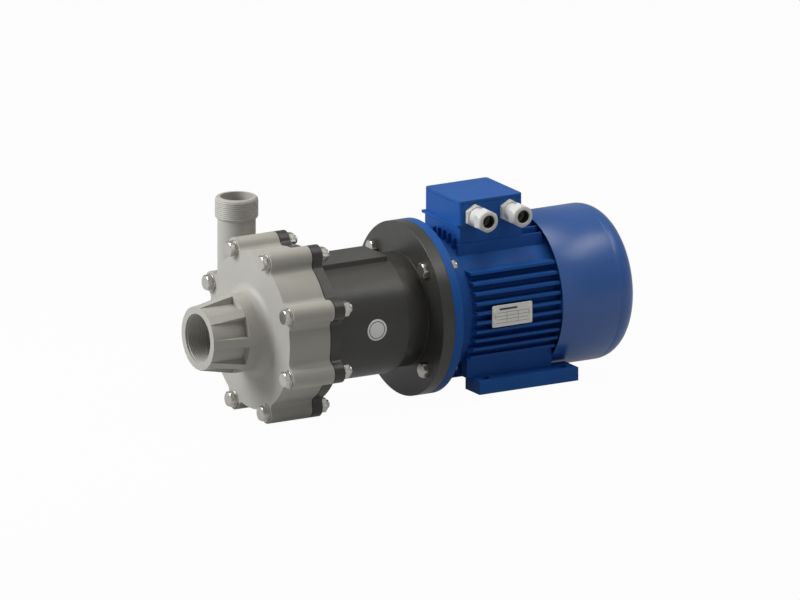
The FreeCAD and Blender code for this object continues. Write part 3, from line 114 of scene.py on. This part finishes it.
def surface(name, colour, roughness, metallic=0.0, shade=0.06, grain=1400, relief=0.00004,
            strength=0.25, specular=0.5, stretch=None):
    """A finish with soft colour patches, a varied gloss and a fine relief."""
    material = bpy.data.materials.new(name)
    material.use_nodes = True
    nodes, links, shader = graph(material)
    shader.inputs["Metallic"].default_value = metallic
    shader.inputs["Specular IOR Level"].default_value = specular
    place = nodes.new("ShaderNodeTexCoord").outputs["Object"]
    fine_place = place
    if stretch:
        mapping = nodes.new("ShaderNodeMapping")
        mapping.inputs["Scale"].default_value = stretch
        links.new(place, mapping.inputs["Vector"])
        fine_place = mapping.outputs["Vector"]
    patches = noise(nodes, links, place, PATCH_SCALE)
    fine = noise(nodes, links, fine_place, grain, detail=2.0)
    mix = nodes.new("ShaderNodeMix")
    mix.data_type = "RGBA"
    dark = [channel * (1 - shade) for channel in colour]
    light = [min(1.0, channel * (1 + shade)) for channel in colour]
    mix.inputs["A"].default_value = (*dark, 1)
    mix.inputs["B"].default_value = (*light, 1)
    links.new(ranged(nodes, links, patches, 0.0, 1.0), mix.inputs["Factor"])
    links.new(mix.outputs["Result"], shader.inputs["Base Color"])
    gloss = noise(nodes, links, fine_place, grain / GLOSS_COARSER)
    dull, shiny = roughness + GLOSS_SPREAD / 2, roughness - GLOSS_SPREAD / 2
    links.new(ranged(nodes, links, gloss, shiny, dull), shader.inputs["Roughness"])
    bump = nodes.new("ShaderNodeBump")
    bump.inputs["Strength"].default_value = strength
    bump.inputs["Distance"].default_value = relief
    links.new(fine, bump.inputs["Height"])
    links.new(bump.outputs["Normal"], shader.inputs["Normal"])
    return material


BLUE = (0.021, 0.110, 0.400)

MATERIALS = {
    "casing_plastic": surface("casing_plastic", (0.440, 0.426, 0.388), 0.48, shade=0.03, grain=2600,
                              relief=0.00003, strength=0.3),
    "shell_plastic": surface("shell_plastic", (0.62, 0.61, 0.55), 0.5),
    "black_rubber": surface("black_rubber", (0.018, 0.018, 0.018), 0.7),
    "stainless": surface("stainless", (0.56, 0.54, 0.50), 0.30, metallic=1.0, shade=0.03,
                         grain=1600, relief=0.00001, strength=0.06),
    "ceramic": surface("ceramic", (0.78, 0.75, 0.66), 0.2),
    "carbon": surface("carbon", (0.03, 0.03, 0.03), 0.45),
    "magnet_plating": surface("magnet_plating", (0.50, 0.50, 0.52), 0.3, metallic=1.0),
    "hub_steel": surface("hub_steel", (0.24, 0.24, 0.25), 0.45, metallic=1.0),
    "bearing_steel": surface("bearing_steel", (0.55, 0.55, 0.56), 0.25, metallic=1.0),
    "bracket_black": surface("bracket_black", (0.042, 0.041, 0.037), 0.34, shade=0.10, grain=1900,
                             relief=0.00005, strength=0.3),
    "label_film": surface("label_film", (0.92, 0.93, 0.90), 0.4, shade=0.02),
    "motor_blue": surface("motor_blue", BLUE, 0.40, grain=900, relief=0.00006, strength=0.2,
                          specular=0.10),
    "cowl_blue": surface("cowl_blue", BLUE, 0.33, shade=0.04, grain=700, relief=0.00003,
                         strength=0.15, specular=0.7),
    "lamination_steel": surface("lamination_steel", (0.30, 0.30, 0.32), 0.4, metallic=1.0,
                                stretch=(2.0, 0.05, 0.05)),
    "copper_wire": surface("copper_wire", (0.50, 0.19, 0.07), 0.35, metallic=1.0, grain=600),
    "cast_aluminium": surface("cast_aluminium", (0.66, 0.67, 0.68), 0.4, metallic=1.0),
    "shaft_steel": surface("shaft_steel", (0.52, 0.52, 0.53), 0.25, metallic=1.0),
    "fan_plastic": surface("fan_plastic", (0.03, 0.03, 0.032), 0.45),
    "terminal_brass": surface("terminal_brass", (0.72, 0.52, 0.22), 0.3, metallic=1.0),
    "gland_plastic": surface("gland_plastic", (0.74, 0.735, 0.71), 0.30, shade=0.02, grain=2200,
                             relief=0.00002),
    "plate_aluminium": surface("plate_aluminium", (0.95, 0.94, 0.90), 0.38, grain=1200,
                               stretch=(0.05, 1.0, 1.0)),
}
INK = surface("plate_ink", (0.05, 0.05, 0.055), 0.5)


def ringed(material, centre, radius, low=0.74, high=0.82, ink=(0.10, 0.14, 0.30, 1)):
    """Print a thin ring on a disc, by the distance from its centre."""
    nodes, links, shader = graph(material)
    place = nodes.new("ShaderNodeTexCoord").outputs["Object"]
    away = nodes.new("ShaderNodeVectorMath")
    away.operation = "DISTANCE"
    away.inputs[1].default_value = centre
    links.new(place, away.inputs[0])
    middle, half = (low + high) / 2 * radius, (high - low) / 2 * radius
    inside = nodes.new("ShaderNodeMath")
    inside.operation = "COMPARE"
    inside.inputs[1].default_value = middle
    inside.inputs[2].default_value = half
    links.new(away.outputs["Value"], inside.inputs[0])
    mix = nodes.new("ShaderNodeMix")
    mix.data_type = "RGBA"
    links.new(inside.outputs["Value"], mix.inputs["Factor"])
    links.new(shader.inputs["Base Color"].links[0].from_socket, mix.inputs["A"])
    mix.inputs["B"].default_value = ink
    links.new(mix.outputs["Result"], shader.inputs["Base Color"])


def paint(piece, slot, material=None):
    piece.data.materials.clear()
    piece.data.materials.append(material or MATERIALS[slot])


for node, item in NODES.items():
    item.data.materials.clear()
    item.data.materials.append(MATERIALS[SLOT_OF[node]])


label_low, label_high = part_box("bracket_label")
ringed(MATERIALS["label_film"], (label_low + label_high) / 2, (label_high.x - label_low.x) / 2)
NODES["nameplate_rivets"].data.materials[0] = MATERIALS["plate_aluminium"]


# Mesh building

def link(name, mesh):
    piece = bpy.data.objects.new(name, mesh)
    bpy.context.scene.collection.objects.link(piece)
    return piece


def smooth(mesh, angle=30):
    for polygon in mesh.polygons:
        polygon.use_smooth = True
    mesh.set_sharp_from_angle(angle=math.radians(angle))


def body_of(node):
    return next(body for body, members in frame["record"]["behaviour"]["bodies"].items()
                if node in members)


FOOT_CUT = 9.5 * MM    # the cut corners lie within this of a foot's outer edge


def square_corners(work):
    """Bring the cut outer corners of a foot out to square ones."""
    outer = max(abs(vertex.co.y) for vertex in work.verts)
    ends = (min(vertex.co.x for vertex in work.verts), max(vertex.co.x for vertex in work.verts))
    for vertex in work.verts:
        at_end = min(abs(vertex.co.x - end) for end in ends) < NEAR
        if at_end and outer - FOOT_CUT < abs(vertex.co.y) < outer - NEAR:
            vertex.co.y = math.copysign(outer, vertex.co.y)


PAD_DEPTH = 17 * MM
PAD_DEPTH_SEEN = 12 * MM
PAD_INSET = 9 * MM
PAD_LENGTH = 94 * MM
PAD_BELOW_SHAFT = 30 * MM
PAD_ROOT = 2 * MM


def set_back_pads(work):
    """Set the foot pads back from the feet's holes and run them along the whole frame."""
    frame_low, frame_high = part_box("motor_frame")
    foot_low, foot_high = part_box("near_foot")
    inner = min(abs(foot_low.y), abs(foot_high.y))
    start = frame_low.x + PAD_INSET
    ends = ((start, frame_low.x), (start + PAD_LENGTH, frame_high.x))
    for vertex in work.verts:
        across = abs(vertex.co.y)
        if vertex.co.z > AXIS_Z - PAD_BELOW_SHAFT or across < inner - PAD_ROOT:
            continue
        for found, wanted in ends:
            if abs(vertex.co.x - found) < NEAR:
                vertex.co.x = wanted
        if abs(across - inner - PAD_DEPTH) < 2 * NEAR:
            vertex.co.y = math.copysign(inner + PAD_DEPTH_SEEN, vertex.co.y)


SOLID_WELD = 0.002 * MM
SKIN_WELD = 0.0005 * MM
FLAT = math.radians(0.6)


def dress(node, bevel=0.5, segments=2, angle=32, shaped=None):
    """A finer copy of a construction solid: clean faces, rounded edges and smooth shading."""
    mesh = NODES[node].data.copy()
    work = bmesh.new()
    work.from_mesh(mesh)
    bmesh.ops.remove_doubles(work, verts=work.verts, dist=SOLID_WELD)
    if shaped:
        shaped(work)
    bmesh.ops.dissolve_limit(work, angle_limit=FLAT, verts=work.verts, edges=work.edges)
    work.to_mesh(mesh)
    work.free()
    piece = link(node + "_finished", mesh)
    if bevel:
        rounding = piece.modifiers.new("edges", "BEVEL")
        rounding.width = bevel * MM
        rounding.segments = segments
        rounding.limit_method = "ANGLE"
        rounding.angle_limit = math.radians(angle)
        rounding.use_clamp_overlap = True
        rounding.harden_normals = True
        rounding.miter_outer = "MITER_ARC"
        weights = piece.modifiers.new("shading", "WEIGHTED_NORMAL")
        weights.keep_sharp = True
    for polygon in mesh.polygons:
        polygon.use_smooth = True
    if not bevel:
        mesh.set_sharp_from_angle(angle=math.radians(angle))
    stand_for(piece, node)


def stand_for(piece, node):
    paint(piece, SLOT_OF[node])
    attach(piece, body_of(node))
    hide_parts(node)


def add_to(piece, slot, material=None):
    paint(piece, slot, material)
    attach(piece, STAND)


def mesh_from(name, points, faces, sharp=30):
    mesh = bpy.data.meshes.new(name)
    mesh.from_pydata([tuple(point) for point in points], [], faces)
    work = bmesh.new()
    work.from_mesh(mesh)
    bmesh.ops.remove_doubles(work, verts=work.verts, dist=SKIN_WELD)
    bmesh.ops.recalc_face_normals(work, faces=work.faces)
    work.to_mesh(mesh)
    work.free()
    smooth(mesh, sharp)
    return mesh


def loft(rings, closed_ends=True, loop=False):
    """Points and faces for a skin over rings that all have the same number of points."""
    count = len(rings[0])
    points = [point for ring in rings for point in ring]
    faces = []
    pairs = len(rings) if loop else len(rings) - 1
    for number in range(pairs):
        low = number * count
        high = ((number + 1) % len(rings)) * count
        for step in range(count):
            after = (step + 1) % count
            faces.append((low + step, low + after, high + after, high + step))
    if closed_ends and not loop:
        faces.append(tuple(reversed(range(count))))
        faces.append(tuple(range((len(rings) - 1) * count, len(rings) * count)))
    return points, faces


def around_axis(axis, centre):
    """A function from (along, radius, angle) to a point, for pieces turned about an axis."""
    directions = {"x": (Vector((1, 0, 0)), Vector((0, 0, 1)), Vector((0, -1, 0))),
                  "y": (Vector((0, -1, 0)), Vector((0, 0, 1)), Vector((-1, 0, 0))),
                  "z": (Vector((0, 0, 1)), Vector((1, 0, 0)), Vector((0, 1, 0)))}
    along, first, second = directions[axis]

    def place(distance, radius, angle):
        return (centre + along * distance + first * (radius * math.cos(angle))
                + second * (radius * math.sin(angle)))
    return place


def hexagon_radius(flats, angle):
    """How far a hexagon reaches in a direction."""
    sixth = math.pi / 3
    return flats / 2 / math.cos((angle + sixth / 2) % sixth - sixth / 2)


def turned_hexagon(place, flats, stations, steps=72, turn=0.0, loop=False):
    """A hexagon bar that is turned to a limit radius at each station, as chamfers and domes are."""
    rings = []
    for distance, limit in stations:
        ring = []
        for step in range(steps):
            angle = 2 * math.pi * step / steps
            reach = limit if flats is None else min(limit, hexagon_radius(flats, angle - turn))
            ring.append(place(distance, reach, angle))
        rings.append(ring)
    return loft(rings, closed_ends=not loop, loop=loop)


# A ridge's section: half widths of its foot and top as shares of the pitch, and its sunk foot
RIDGE_FOOT = 0.46
RIDGE_TOP = 0.10
RIDGE_SINK = 0.05 * MM
RIDGE_FADE = 0.5    # turns over which a ridge rises at its ends


def helix(place, radius, crest, pitch, low, high, steps=40, inward=False):
    """The ridge of a screw thread, which fades out at both ends."""
    turns = (high - low) / pitch
    total = int(turns * steps)
    sign = -1 if inward else 1
    rings = []
    for step in range(total + 1):
        angle = 2 * math.pi * step / steps
        middle = low + pitch * step / steps
        height = crest * min(1.0, step / steps / RIDGE_FADE, (total - step) / steps / RIDGE_FADE)
        section = ((-RIDGE_FOOT, -RIDGE_SINK), (-RIDGE_TOP, height), (RIDGE_TOP, height),
                   (RIDGE_FOOT, -RIDGE_SINK))
        rings.append([place(middle + share * pitch, radius + sign * rise, angle)
                      for share, rise in section])
    return loft(rings)


def joined(parts):
    """One list of points and faces from several."""
    points, faces = [], []
    for more_points, more_faces in parts:
        shift = len(points)
        points.extend(more_points)
        faces.extend(tuple(corner + shift for corner in face) for face in more_faces)
    return points, faces


def stand_in(node, parts, sharp=30):
    """One piece made of several skins, in the place of a construction node."""
    stand_for(link(node + "_finished", mesh_from(node, *joined(parts), sharp=sharp)), node)


# Fasteners

BOLT_HEX = 16 * MM
BOLT_RADIUS = 5 * MM
BOLT_HEAD = 6.4 * MM
BOLT_STUB = 5 * MM        # the threaded end that shows
BOLT_TIP = 0.8 * MM
BOLT_PITCH = 1.5 * MM
BOLT_CREST = 0.42 * MM
BOLT_ROOT = 0.3 * MM      # how far the thread starts inside the shank
BOLT_FACE = 0.95          # the chamfered faces, as shares of the flats
BOLT_RECESS = 0.6
NUT_FACE = 0.96
NUT_CHAMFER = 0.4 * MM
CHAMFER_SLOPE = math.tan(math.radians(30))
WASHER_RADIUS = 10 * MM
WASHER_EDGE = 0.25 * MM
CASING_BOLT_CIRCLE = 95 * MM
FLANGE_BOLT_CIRCLE = 82.5 * MM


def hex_bolt(place, length):
    """A bolt whose head's outer end is at 0 and whose shank runs on to its length."""
    face = BOLT_HEX / 2 * BOLT_FACE
    corner = BOLT_HEX / math.sqrt(3)
    slope = (corner - face) * CHAMFER_SLOPE
    head = [(0, face * BOLT_RECESS), (0, face), (slope / 2, (face + corner) / 2), (slope, corner),
            (BOLT_HEAD, corner)]
    shank = [(BOLT_HEAD, BOLT_RADIUS), (length - BOLT_TIP, BOLT_RADIUS),
             (length, BOLT_RADIUS - BOLT_TIP)]
    return joined([turned_hexagon(place, BOLT_HEX, head),
                   turned_hexagon(place, None, shank, steps=32),
                   helix(place, BOLT_RADIUS - BOLT_ROOT, BOLT_CREST, BOLT_PITCH, length - BOLT_STUB,
                         length - BOLT_TIP, steps=24)])


def hex_nut(place, low, high):
    face = BOLT_HEX / 2 * NUT_FACE
    corner = BOLT_HEX / math.sqrt(3)
    slope = (corner - face) * CHAMFER_SLOPE
    stations = [(low, BOLT_RADIUS), (low, face), (low + slope, corner), (high - slope, corner),
                (high, face), (high, BOLT_RADIUS + NUT_CHAMFER), (high - NUT_CHAMFER, BOLT_RADIUS)]
    return turned_hexagon(place, BOLT_HEX, stations, loop=True)


def flat_washer(place, low, high):
    edge = WASHER_RADIUS - WASHER_EDGE
    stations = [(low, BOLT_RADIUS), (low, edge), (low + WASHER_EDGE, WASHER_RADIUS),
                (high - WASHER_EDGE, WASHER_RADIUS), (high, edge), (high, BOLT_RADIUS)]
    return turned_hexagon(place, None, stations, steps=48, loop=True)


def ring_places(pitch_radius, count, first):
    """Places around the shaft line, square to it."""
    places = []
    for number in range(count):
        angle = math.radians(first + 360 / count * number)
        across, up = pitch_radius * math.sin(angle), pitch_radius * math.cos(angle)
        places.append(around_axis("x", Vector((0, across, AXIS_Z + up))))
    return places


def moved(place, start):
    """The same places, counted from a start further along the axis."""
    return lambda distance, radius, angle: place(start + distance, radius, angle)


def fastener_set(bolts, washers, nuts, pitch_radius, count, first):
    """Bolts, washers and nuts of one joint, at the places of their construction solids."""
    places = ring_places(pitch_radius, count, first)
    low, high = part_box(bolts)
    stand_in(bolts, [hex_bolt(moved(place, low.x), high.x - low.x) for place in places])
    low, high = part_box(nuts)
    stand_in(nuts, [hex_nut(place, low.x, high.x) for place in places])
    for washer in washers:
        low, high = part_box(washer)
        stand_in(washer, [flat_washer(place, low.x, high.x) for place in places])


fastener_set("casing_bolts", ("casing_washers", "casing_nut_washers"), "casing_nuts",
             CASING_BOLT_CIRCLE, count=8, first=22.5)
fastener_set("flange_bolts", ("flange_washers",), "flange_nuts",
             FLANGE_BOLT_CIRCLE, count=4, first=45)


# Dressed construction solids

dress("volute_casing", bevel=0.7, segments=3, angle=38)
dress("casing_gasket", bevel=0)
dress("bracket", bevel=0.7, segments=3, angle=38)
dress("drive_end_shield", bevel=0.8, segments=2, angle=38)
dress("motor_frame", bevel=0.45, segments=2, angle=38, shaped=set_back_pads)
for foot in ("near_foot", "far_foot"):
    dress(foot, bevel=0.8, segments=3, shaped=square_corners)
dress("terminal_box", bevel=0.5, segments=2, angle=38)
dress("terminal_box_lid", bevel=1.3, segments=4, angle=38)
dress("box_gasket", bevel=0)


# Pipe threads on the ports

PIPE_PITCH = 25.4 / 11 * MM
DISCHARGE_ROOT, DISCHARGE_CREST = 23.9 * MM, 0.75 * MM
DISCHARGE_START, DISCHARGE_END = 23.6 * MM, 2.2 * MM    # below the rim
SUCTION_ROOT, SUCTION_CREST = 28.33 * MM, 1.1 * MM
SUCTION_START, SUCTION_END = 1.5 * MM, 28 * MM          # behind the front face


def pipe_thread(name, place, radius, crest, low, high, inward=False):
    ridge = helix(place, radius, crest, PIPE_PITCH, low, high, steps=144, inward=inward)
    add_to(link(name, mesh_from(name, *ridge, sharp=75)), "casing_plastic")


def port_threads():
    low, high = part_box("volute_casing")
    rim = [vertex.co for vertex in NODES["volute_casing"].data.vertices
           if vertex.co.z > high.z - 2 * NEAR]
    across, deep = [point.x for point in rim], [point.y for point in rim]
    discharge = Vector(((min(across) + max(across)) / 2, (min(deep) + max(deep)) / 2, 0))
    pipe_thread("discharge_thread", around_axis("z", discharge), DISCHARGE_ROOT, DISCHARGE_CREST,
                high.z - DISCHARGE_START, high.z - DISCHARGE_END)
    pipe_thread("suction_thread", around_axis("x", SHAFT), SUCTION_ROOT, SUCTION_CREST,
                low.x + SUCTION_START, low.x + SUCTION_END, inward=True)


port_threads()


# Fan cowl

COWL_STEPS = 144
COWL_STRAIGHT = 40 * MM
COWL_CORNER = 24 * MM
COWL_CORNER_STEPS = 12
COWL_SHEET = 1.5 * MM
COWL_CENTRE_HOLE = 6 * MM
GROOVE_BEFORE_CORNER = 1.5 * MM
GROOVE_DEPTH = 0.2 * MM
GROOVE_EDGES = (-1.2 * MM, -0.5 * MM, 0, 0.7 * MM)
SLOT_RINGS = [(first, first + 7 * MM) for first in (43 * MM, 29 * MM, 15 * MM)]
SLOT_COUNT = 12
SLOT_HALF = 11 / 30    # half of a slot, as a share of the way from one slot to the next


def cowl_stations():
    """Places along the cowl and their radii, from its open end to the middle of its back."""
    low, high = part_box("fan_cowl")
    outer = (high.y - low.y) / 2
    groove = high.x - COWL_CORNER - GROOVE_BEFORE_CORNER
    depths = (0, GROOVE_DEPTH, GROOVE_DEPTH, 0)
    stations = [(low.x, outer), (low.x + COWL_STRAIGHT, outer)]
    stations += [(groove + edge, outer - depth) for edge, depth in zip(GROOVE_EDGES, depths)]
    for number in range(COWL_CORNER_STEPS + 1):
        angle = math.radians(90 * number / COWL_CORNER_STEPS)
        stations.append((high.x - COWL_CORNER + COWL_CORNER * math.sin(angle),
                         outer - COWL_CORNER + COWL_CORNER * math.cos(angle)))
    for inner, outer_edge in SLOT_RINGS:
        stations += [(high.x, outer_edge), (high.x, inner)]
    stations.append((high.x, COWL_CENTRE_HOLE))
    return stations


def fan_cowl():
    """One skin of sheet steel: straight side, rounded corner and an end with rings of slots."""
    stations = cowl_stations()
    place = around_axis("x", SHAFT)
    points = [place(x, radius, 2 * math.pi * step / COWL_STEPS)
              for x, radius in stations for step in range(COWL_STEPS)]
    faces = []
    for number in range(len(stations) - 1):
        in_slot = (stations[number + 1][1], stations[number][1]) in SLOT_RINGS
        low, high = number * COWL_STEPS, (number + 1) * COWL_STEPS
        for step in range(COWL_STEPS):
            share = (step + 0.5) / COWL_STEPS * SLOT_COUNT
            if in_slot and abs(share - round(share)) < SLOT_HALF:
                continue
            after = (step + 1) % COWL_STEPS
            faces.append((low + step, low + after, high + after, high + step))
    last = (len(stations) - 1) * COWL_STEPS
    faces.append(tuple(range(last, last + COWL_STEPS)))
    piece = link("fan_cowl_finished", mesh_from("fan_cowl", points, faces, sharp=40))
    sheet = piece.modifiers.new("sheet", "SOLIDIFY")
    sheet.thickness = COWL_SHEET
    sheet.offset = -1
    edge = piece.modifiers.new("edges", "BEVEL")
    edge.width = 0.35 * MM
    edge.segments = 2
    edge.limit_method = "ANGLE"
    edge.angle_limit = math.radians(50)
    stand_for(piece, "fan_cowl")


fan_cowl()


# Cable glands

GLAND_PLACES = (-46.5 * MM, -1.5 * MM)
GLAND_HEIGHT = 197.6 * MM
GLAND_HEX = 24 * MM
GLAND_SOFT = 0.5 * MM            # the softened corners
GLAND_BORE = 6.5 * MM
GLAND_FLANGE = 5.5 * MM
GLAND_FLANGE_CHAMFER = 1.2 * MM
GLAND_FLANGE_FACE = 0.97
GLAND_NECK_RADIUS = 10.1 * MM
GLAND_COLLAR_RADIUS = 11.8 * MM
GLAND_COLLAR = 1.6 * MM
GLAND_JOINT = 0.1 * MM
GLAND_NUT_LENGTH = 13.5 * MM
GLAND_NUT_BORE = 9 * MM
GLAND_DOME = 8.5 * MM
GLAND_DOME_STEPS = 8
GLAND_DOME_FULLNESS = 0.62
GLAND_HOLE = 7.6 * MM
GLAND_RIM = 0.6 * MM
GLAND_RIM_DROP = 0.8 * MM
GLAND_HOLE_DEPTH = 10 * MM
GLAND_HOLE_TAPER = 0.4 * MM


def cable_glands():
    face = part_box("terminal_box")[0].y
    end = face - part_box("gland_nuts")[0].y
    neck = end - GLAND_NUT_LENGTH
    corner = GLAND_HEX / math.sqrt(3)
    rim = GLAND_HOLE + GLAND_RIM
    body = [(0, GLAND_BORE), (0, corner - GLAND_SOFT), (GLAND_SOFT, corner),
            (GLAND_FLANGE - GLAND_FLANGE_CHAMFER, corner),
            (GLAND_FLANGE, GLAND_HEX / 2 * GLAND_FLANGE_FACE),
            (GLAND_FLANGE, GLAND_NECK_RADIUS), (neck - GLAND_COLLAR, GLAND_NECK_RADIUS),
            (neck - GLAND_COLLAR, GLAND_COLLAR_RADIUS), (neck - GLAND_JOINT, GLAND_COLLAR_RADIUS),
            (neck - GLAND_JOINT, GLAND_BORE)]
    nut = [(neck, GLAND_NUT_BORE), (neck, corner - GLAND_SOFT), (neck + GLAND_SOFT, corner),
           (end - GLAND_DOME, corner)]
    for number in range(1, GLAND_DOME_STEPS + 1):
        angle = math.radians(90 * number / GLAND_DOME_STEPS)
        nut.append((end - GLAND_DOME + GLAND_DOME * math.sin(angle),
                    rim + (corner - rim) * math.cos(angle) ** GLAND_DOME_FULLNESS))
    nut += [(end - GLAND_RIM_DROP, GLAND_HOLE),
            (end - GLAND_HOLE_DEPTH, GLAND_HOLE - GLAND_HOLE_TAPER)]
    places = [around_axis("y", Vector((x, face, GLAND_HEIGHT))) for x in GLAND_PLACES]
    for node, stations, steps in (("gland_bodies", body, 72), ("gland_nuts", nut, 96)):
        stand_in(node, [turned_hexagon(place, GLAND_HEX, stations, steps=steps,
                                       turn=math.radians(30), loop=True) for place in places],
                 sharp=28)


cable_glands()


# Nameplate with generic ruled lines

PLATE_CORNER = 2 * MM
PLATE_EDGE = 0.2 * MM
PRINT_RISE = 0.05 * MM

# Where the print lies, as shares of the plate from its left and its top
PRINT_LINE = 0.014
PRINT_LEFT, PRINT_RIGHT = 0.08, 0.92
PRINT_ROWS = (0.34, 0.50, 0.66, 0.82)
PRINT_COLUMNS = (PRINT_LEFT, 0.36, 0.64, PRINT_RIGHT - PRINT_LINE / 2)
PRINT_HEADING = ((0.18, 0.14), (0.62, 0.23))


def rounded_outline(low, high, y, inset=0.0, steps=6):
    points = []
    radius = PLATE_CORNER
    corners = ((high.x, high.z, 0), (low.x, high.z, 90), (low.x, low.z, 180), (high.x, low.z, 270))
    for corner_x, corner_z, first in corners:
        x = corner_x - math.copysign(radius, corner_x - (low.x + high.x) / 2)
        z = corner_z - math.copysign(radius, corner_z - (low.z + high.z) / 2)
        for step in range(steps + 1):
            angle = math.radians(first + 90 * step / steps)
            points.append(Vector((x + (radius - inset) * math.cos(angle), y,
                                  z + (radius - inset) * math.sin(angle))))
    return points


def printed_bar(low, high, start, end):
    """A thin bar of print between two places given as shares of the plate."""
    size = high - low
    x = [low.x + size.x * share for share in (start[0], end[0])]
    z = [high.z - size.z * share for share in (start[1], end[1])]
    rings = [[Vector((x[i], depth, z[j])) for i, j in ((0, 0), (1, 0), (1, 1), (0, 1))]
             for depth in (low.y + PRINT_RISE, low.y - PRINT_RISE)]
    return loft(rings)


def nameplate():
    low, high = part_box("nameplate")
    rings = [rounded_outline(low, high, high.y), rounded_outline(low, high, low.y + PLATE_EDGE),
             rounded_outline(low, high, low.y, inset=PLATE_EDGE)]
    stand_in("nameplate", [loft(rings)])
    bars = [((PRINT_LEFT, row), (PRINT_RIGHT, row + PRINT_LINE)) for row in PRINT_ROWS]
    bars += [((column, PRINT_ROWS[0]), (column + PRINT_LINE / 2, PRINT_ROWS[-1]))
             for column in PRINT_COLUMNS]
    bars.append(PRINT_HEADING)
    lines = joined([printed_bar(low, high, start, end) for start, end in bars])
    add_to(link("nameplate_lines", mesh_from("nameplate_lines", *lines)), "plate_aluminium",
           material=INK)


nameplate()


# View settings and camera: the photograph is an orthographic view

bpy.context.scene.view_settings.view_transform = "Standard"

VIEW_BACK = Vector((-0.4830, -0.8365, 0.2588))
VIEW_RIGHT = Vector((0.8660, -0.5000, 0.0))
VIEW_UP = Vector((0.1294, 0.2241, 0.9659))
PICTURE_WIDTH = 800
PIXELS_TO_METRE = 886
MIDDLE_RIGHT, MIDDLE_UP = -92.35, 71.41    # pixels from the origin to the middle of the picture
CAMERA_AWAY = 3.0
CAMERA_END = 20


def camera():
    data = bpy.data.cameras.new("camera")
    data.type = "ORTHO"
    data.ortho_scale = PICTURE_WIDTH / PIXELS_TO_METRE
    data.clip_end = CAMERA_END
    item = bpy.data.objects.new("camera", data)
    bpy.context.scene.collection.objects.link(item)
    middle = (VIEW_RIGHT * MIDDLE_RIGHT + VIEW_UP * MIDDLE_UP) / PIXELS_TO_METRE
    turn = Matrix((VIEW_RIGHT, VIEW_UP, VIEW_BACK)).transposed().to_4x4()
    item.matrix_world = Matrix.Translation(middle + VIEW_BACK * CAMERA_AWAY) @ turn
    bpy.context.scene.camera = item


camera()


# Floor and light

FLOOR_GAP = 0.2 * MM
FLOOR_REACH = 6
FLOOR_GREY = 0.5
FLOOR_SEEN = 0.97        # how far the camera sees the floor as plain white
FLOOR_MIRRORED = 0.4     # and how far shiny surfaces do
SKY_GREY = 0.10
SKY_MIRRORED = 0.3


def weighed(nodes, links, source, weight, more=None):
    """A value times a weight, plus one more value, held between 0 and 1."""
    step = nodes.new("ShaderNodeMath")
    step.operation = "MULTIPLY_ADD"
    step.use_clamp = True
    step.inputs[1].default_value = weight
    step.inputs[2].default_value = 0
    links.new(source, step.inputs[0])
    if more:
        links.new(more, step.inputs[2])
    return step.outputs["Value"]


def mixed(nodes, links, share, first, second, output):
    mix = nodes.new("ShaderNodeMixShader")
    links.new(share, mix.inputs["Fac"])
    links.new(first, mix.inputs[1])
    links.new(second, mix.inputs[2])
    links.new(mix.outputs["Shader"], output.inputs["Surface"])


def floor():
    level = cad_low.z - FLOOR_GAP
    reach = FLOOR_REACH
    mesh = bpy.data.meshes.new("floor")
    mesh.from_pydata([(-reach, -reach, level), (reach, -reach, level), (reach, reach, level),
                      (-reach, reach, level)], [], [(0, 1, 2, 3)])
    piece = link("floor", mesh)
    material = bpy.data.materials.new("floor")
    material.use_nodes = True
    nodes, links, shader = graph(material)
    shader.inputs["Base Color"].default_value = (FLOOR_GREY, FLOOR_GREY, FLOOR_GREY, 1)
    shader.inputs["Roughness"].default_value = 0.9
    glow = nodes.new("ShaderNodeEmission")
    rays = nodes.new("ShaderNodeLightPath").outputs
    seen = weighed(nodes, links, rays["Is Camera Ray"], FLOOR_SEEN)
    share = weighed(nodes, links, rays["Is Glossy Ray"], FLOOR_MIRRORED, seen)
    mixed(nodes, links, share, shader.outputs["BSDF"], glow.outputs["Emission"],
          nodes["Material Output"])
    piece.data.materials.append(material)


def world():
    sky = bpy.data.worlds.new("studio")
    bpy.context.scene.world = sky
    sky.use_nodes = True
    nodes, links = sky.node_tree.nodes, sky.node_tree.links
    ambient = nodes["Background"]
    white = nodes.new("ShaderNodeBackground")
    for background, strength in ((ambient, SKY_GREY), (white, 1)):
        background.inputs["Color"].default_value = (1, 1, 1, 1)
        background.inputs["Strength"].default_value = strength
    rays = nodes.new("ShaderNodeLightPath").outputs
    seen = weighed(nodes, links, rays["Is Transmission Ray"], 1, rays["Is Camera Ray"])
    share = weighed(nodes, links, rays["Is Glossy Ray"], SKY_MIRRORED, seen)
    mixed(nodes, links, share, ambient.outputs["Background"], white.outputs["Background"],
          nodes["World Output"])


def lamp(name, place, target, size, power, tint):
    data = bpy.data.lights.new(name, "AREA")
    data.shape = "RECTANGLE"
    data.size, data.size_y = size
    data.energy = power
    data.color = tint
    item = bpy.data.objects.new(name, data)
    bpy.context.scene.collection.objects.link(item)
    item.location = place
    item.rotation_euler = (Vector(target) - Vector(place)).to_track_quat("-Z", "Y").to_euler()


PUMP = (-0.12, 0.0, 0.10)
COWL = (0.1, 0.0, 0.1)
WHITE = (1, 1, 1)

# Each lamp's name, place, target, size, power and tint
LAMPS = (
    ("overhead", (-0.10, -0.10, 1.7), PUMP, (1.2, 0.9), 12.5, (1.0, 0.97, 0.90)),
    ("suction_side", (-1.4, 0.55, 0.85), PUMP, (0.7, 0.7), 20, (0.95, 0.98, 1.0)),
    ("cowl_sheen", (0.95, -0.60, 1.55), COWL, (1.2, 0.4), 6, WHITE),
    ("viewer_side", (0.2, -1.9, 0.7), PUMP, (0.7, 1.4), 1.2, WHITE),
)

floor()
world()
for settings in LAMPS:
    lamp(*settings)
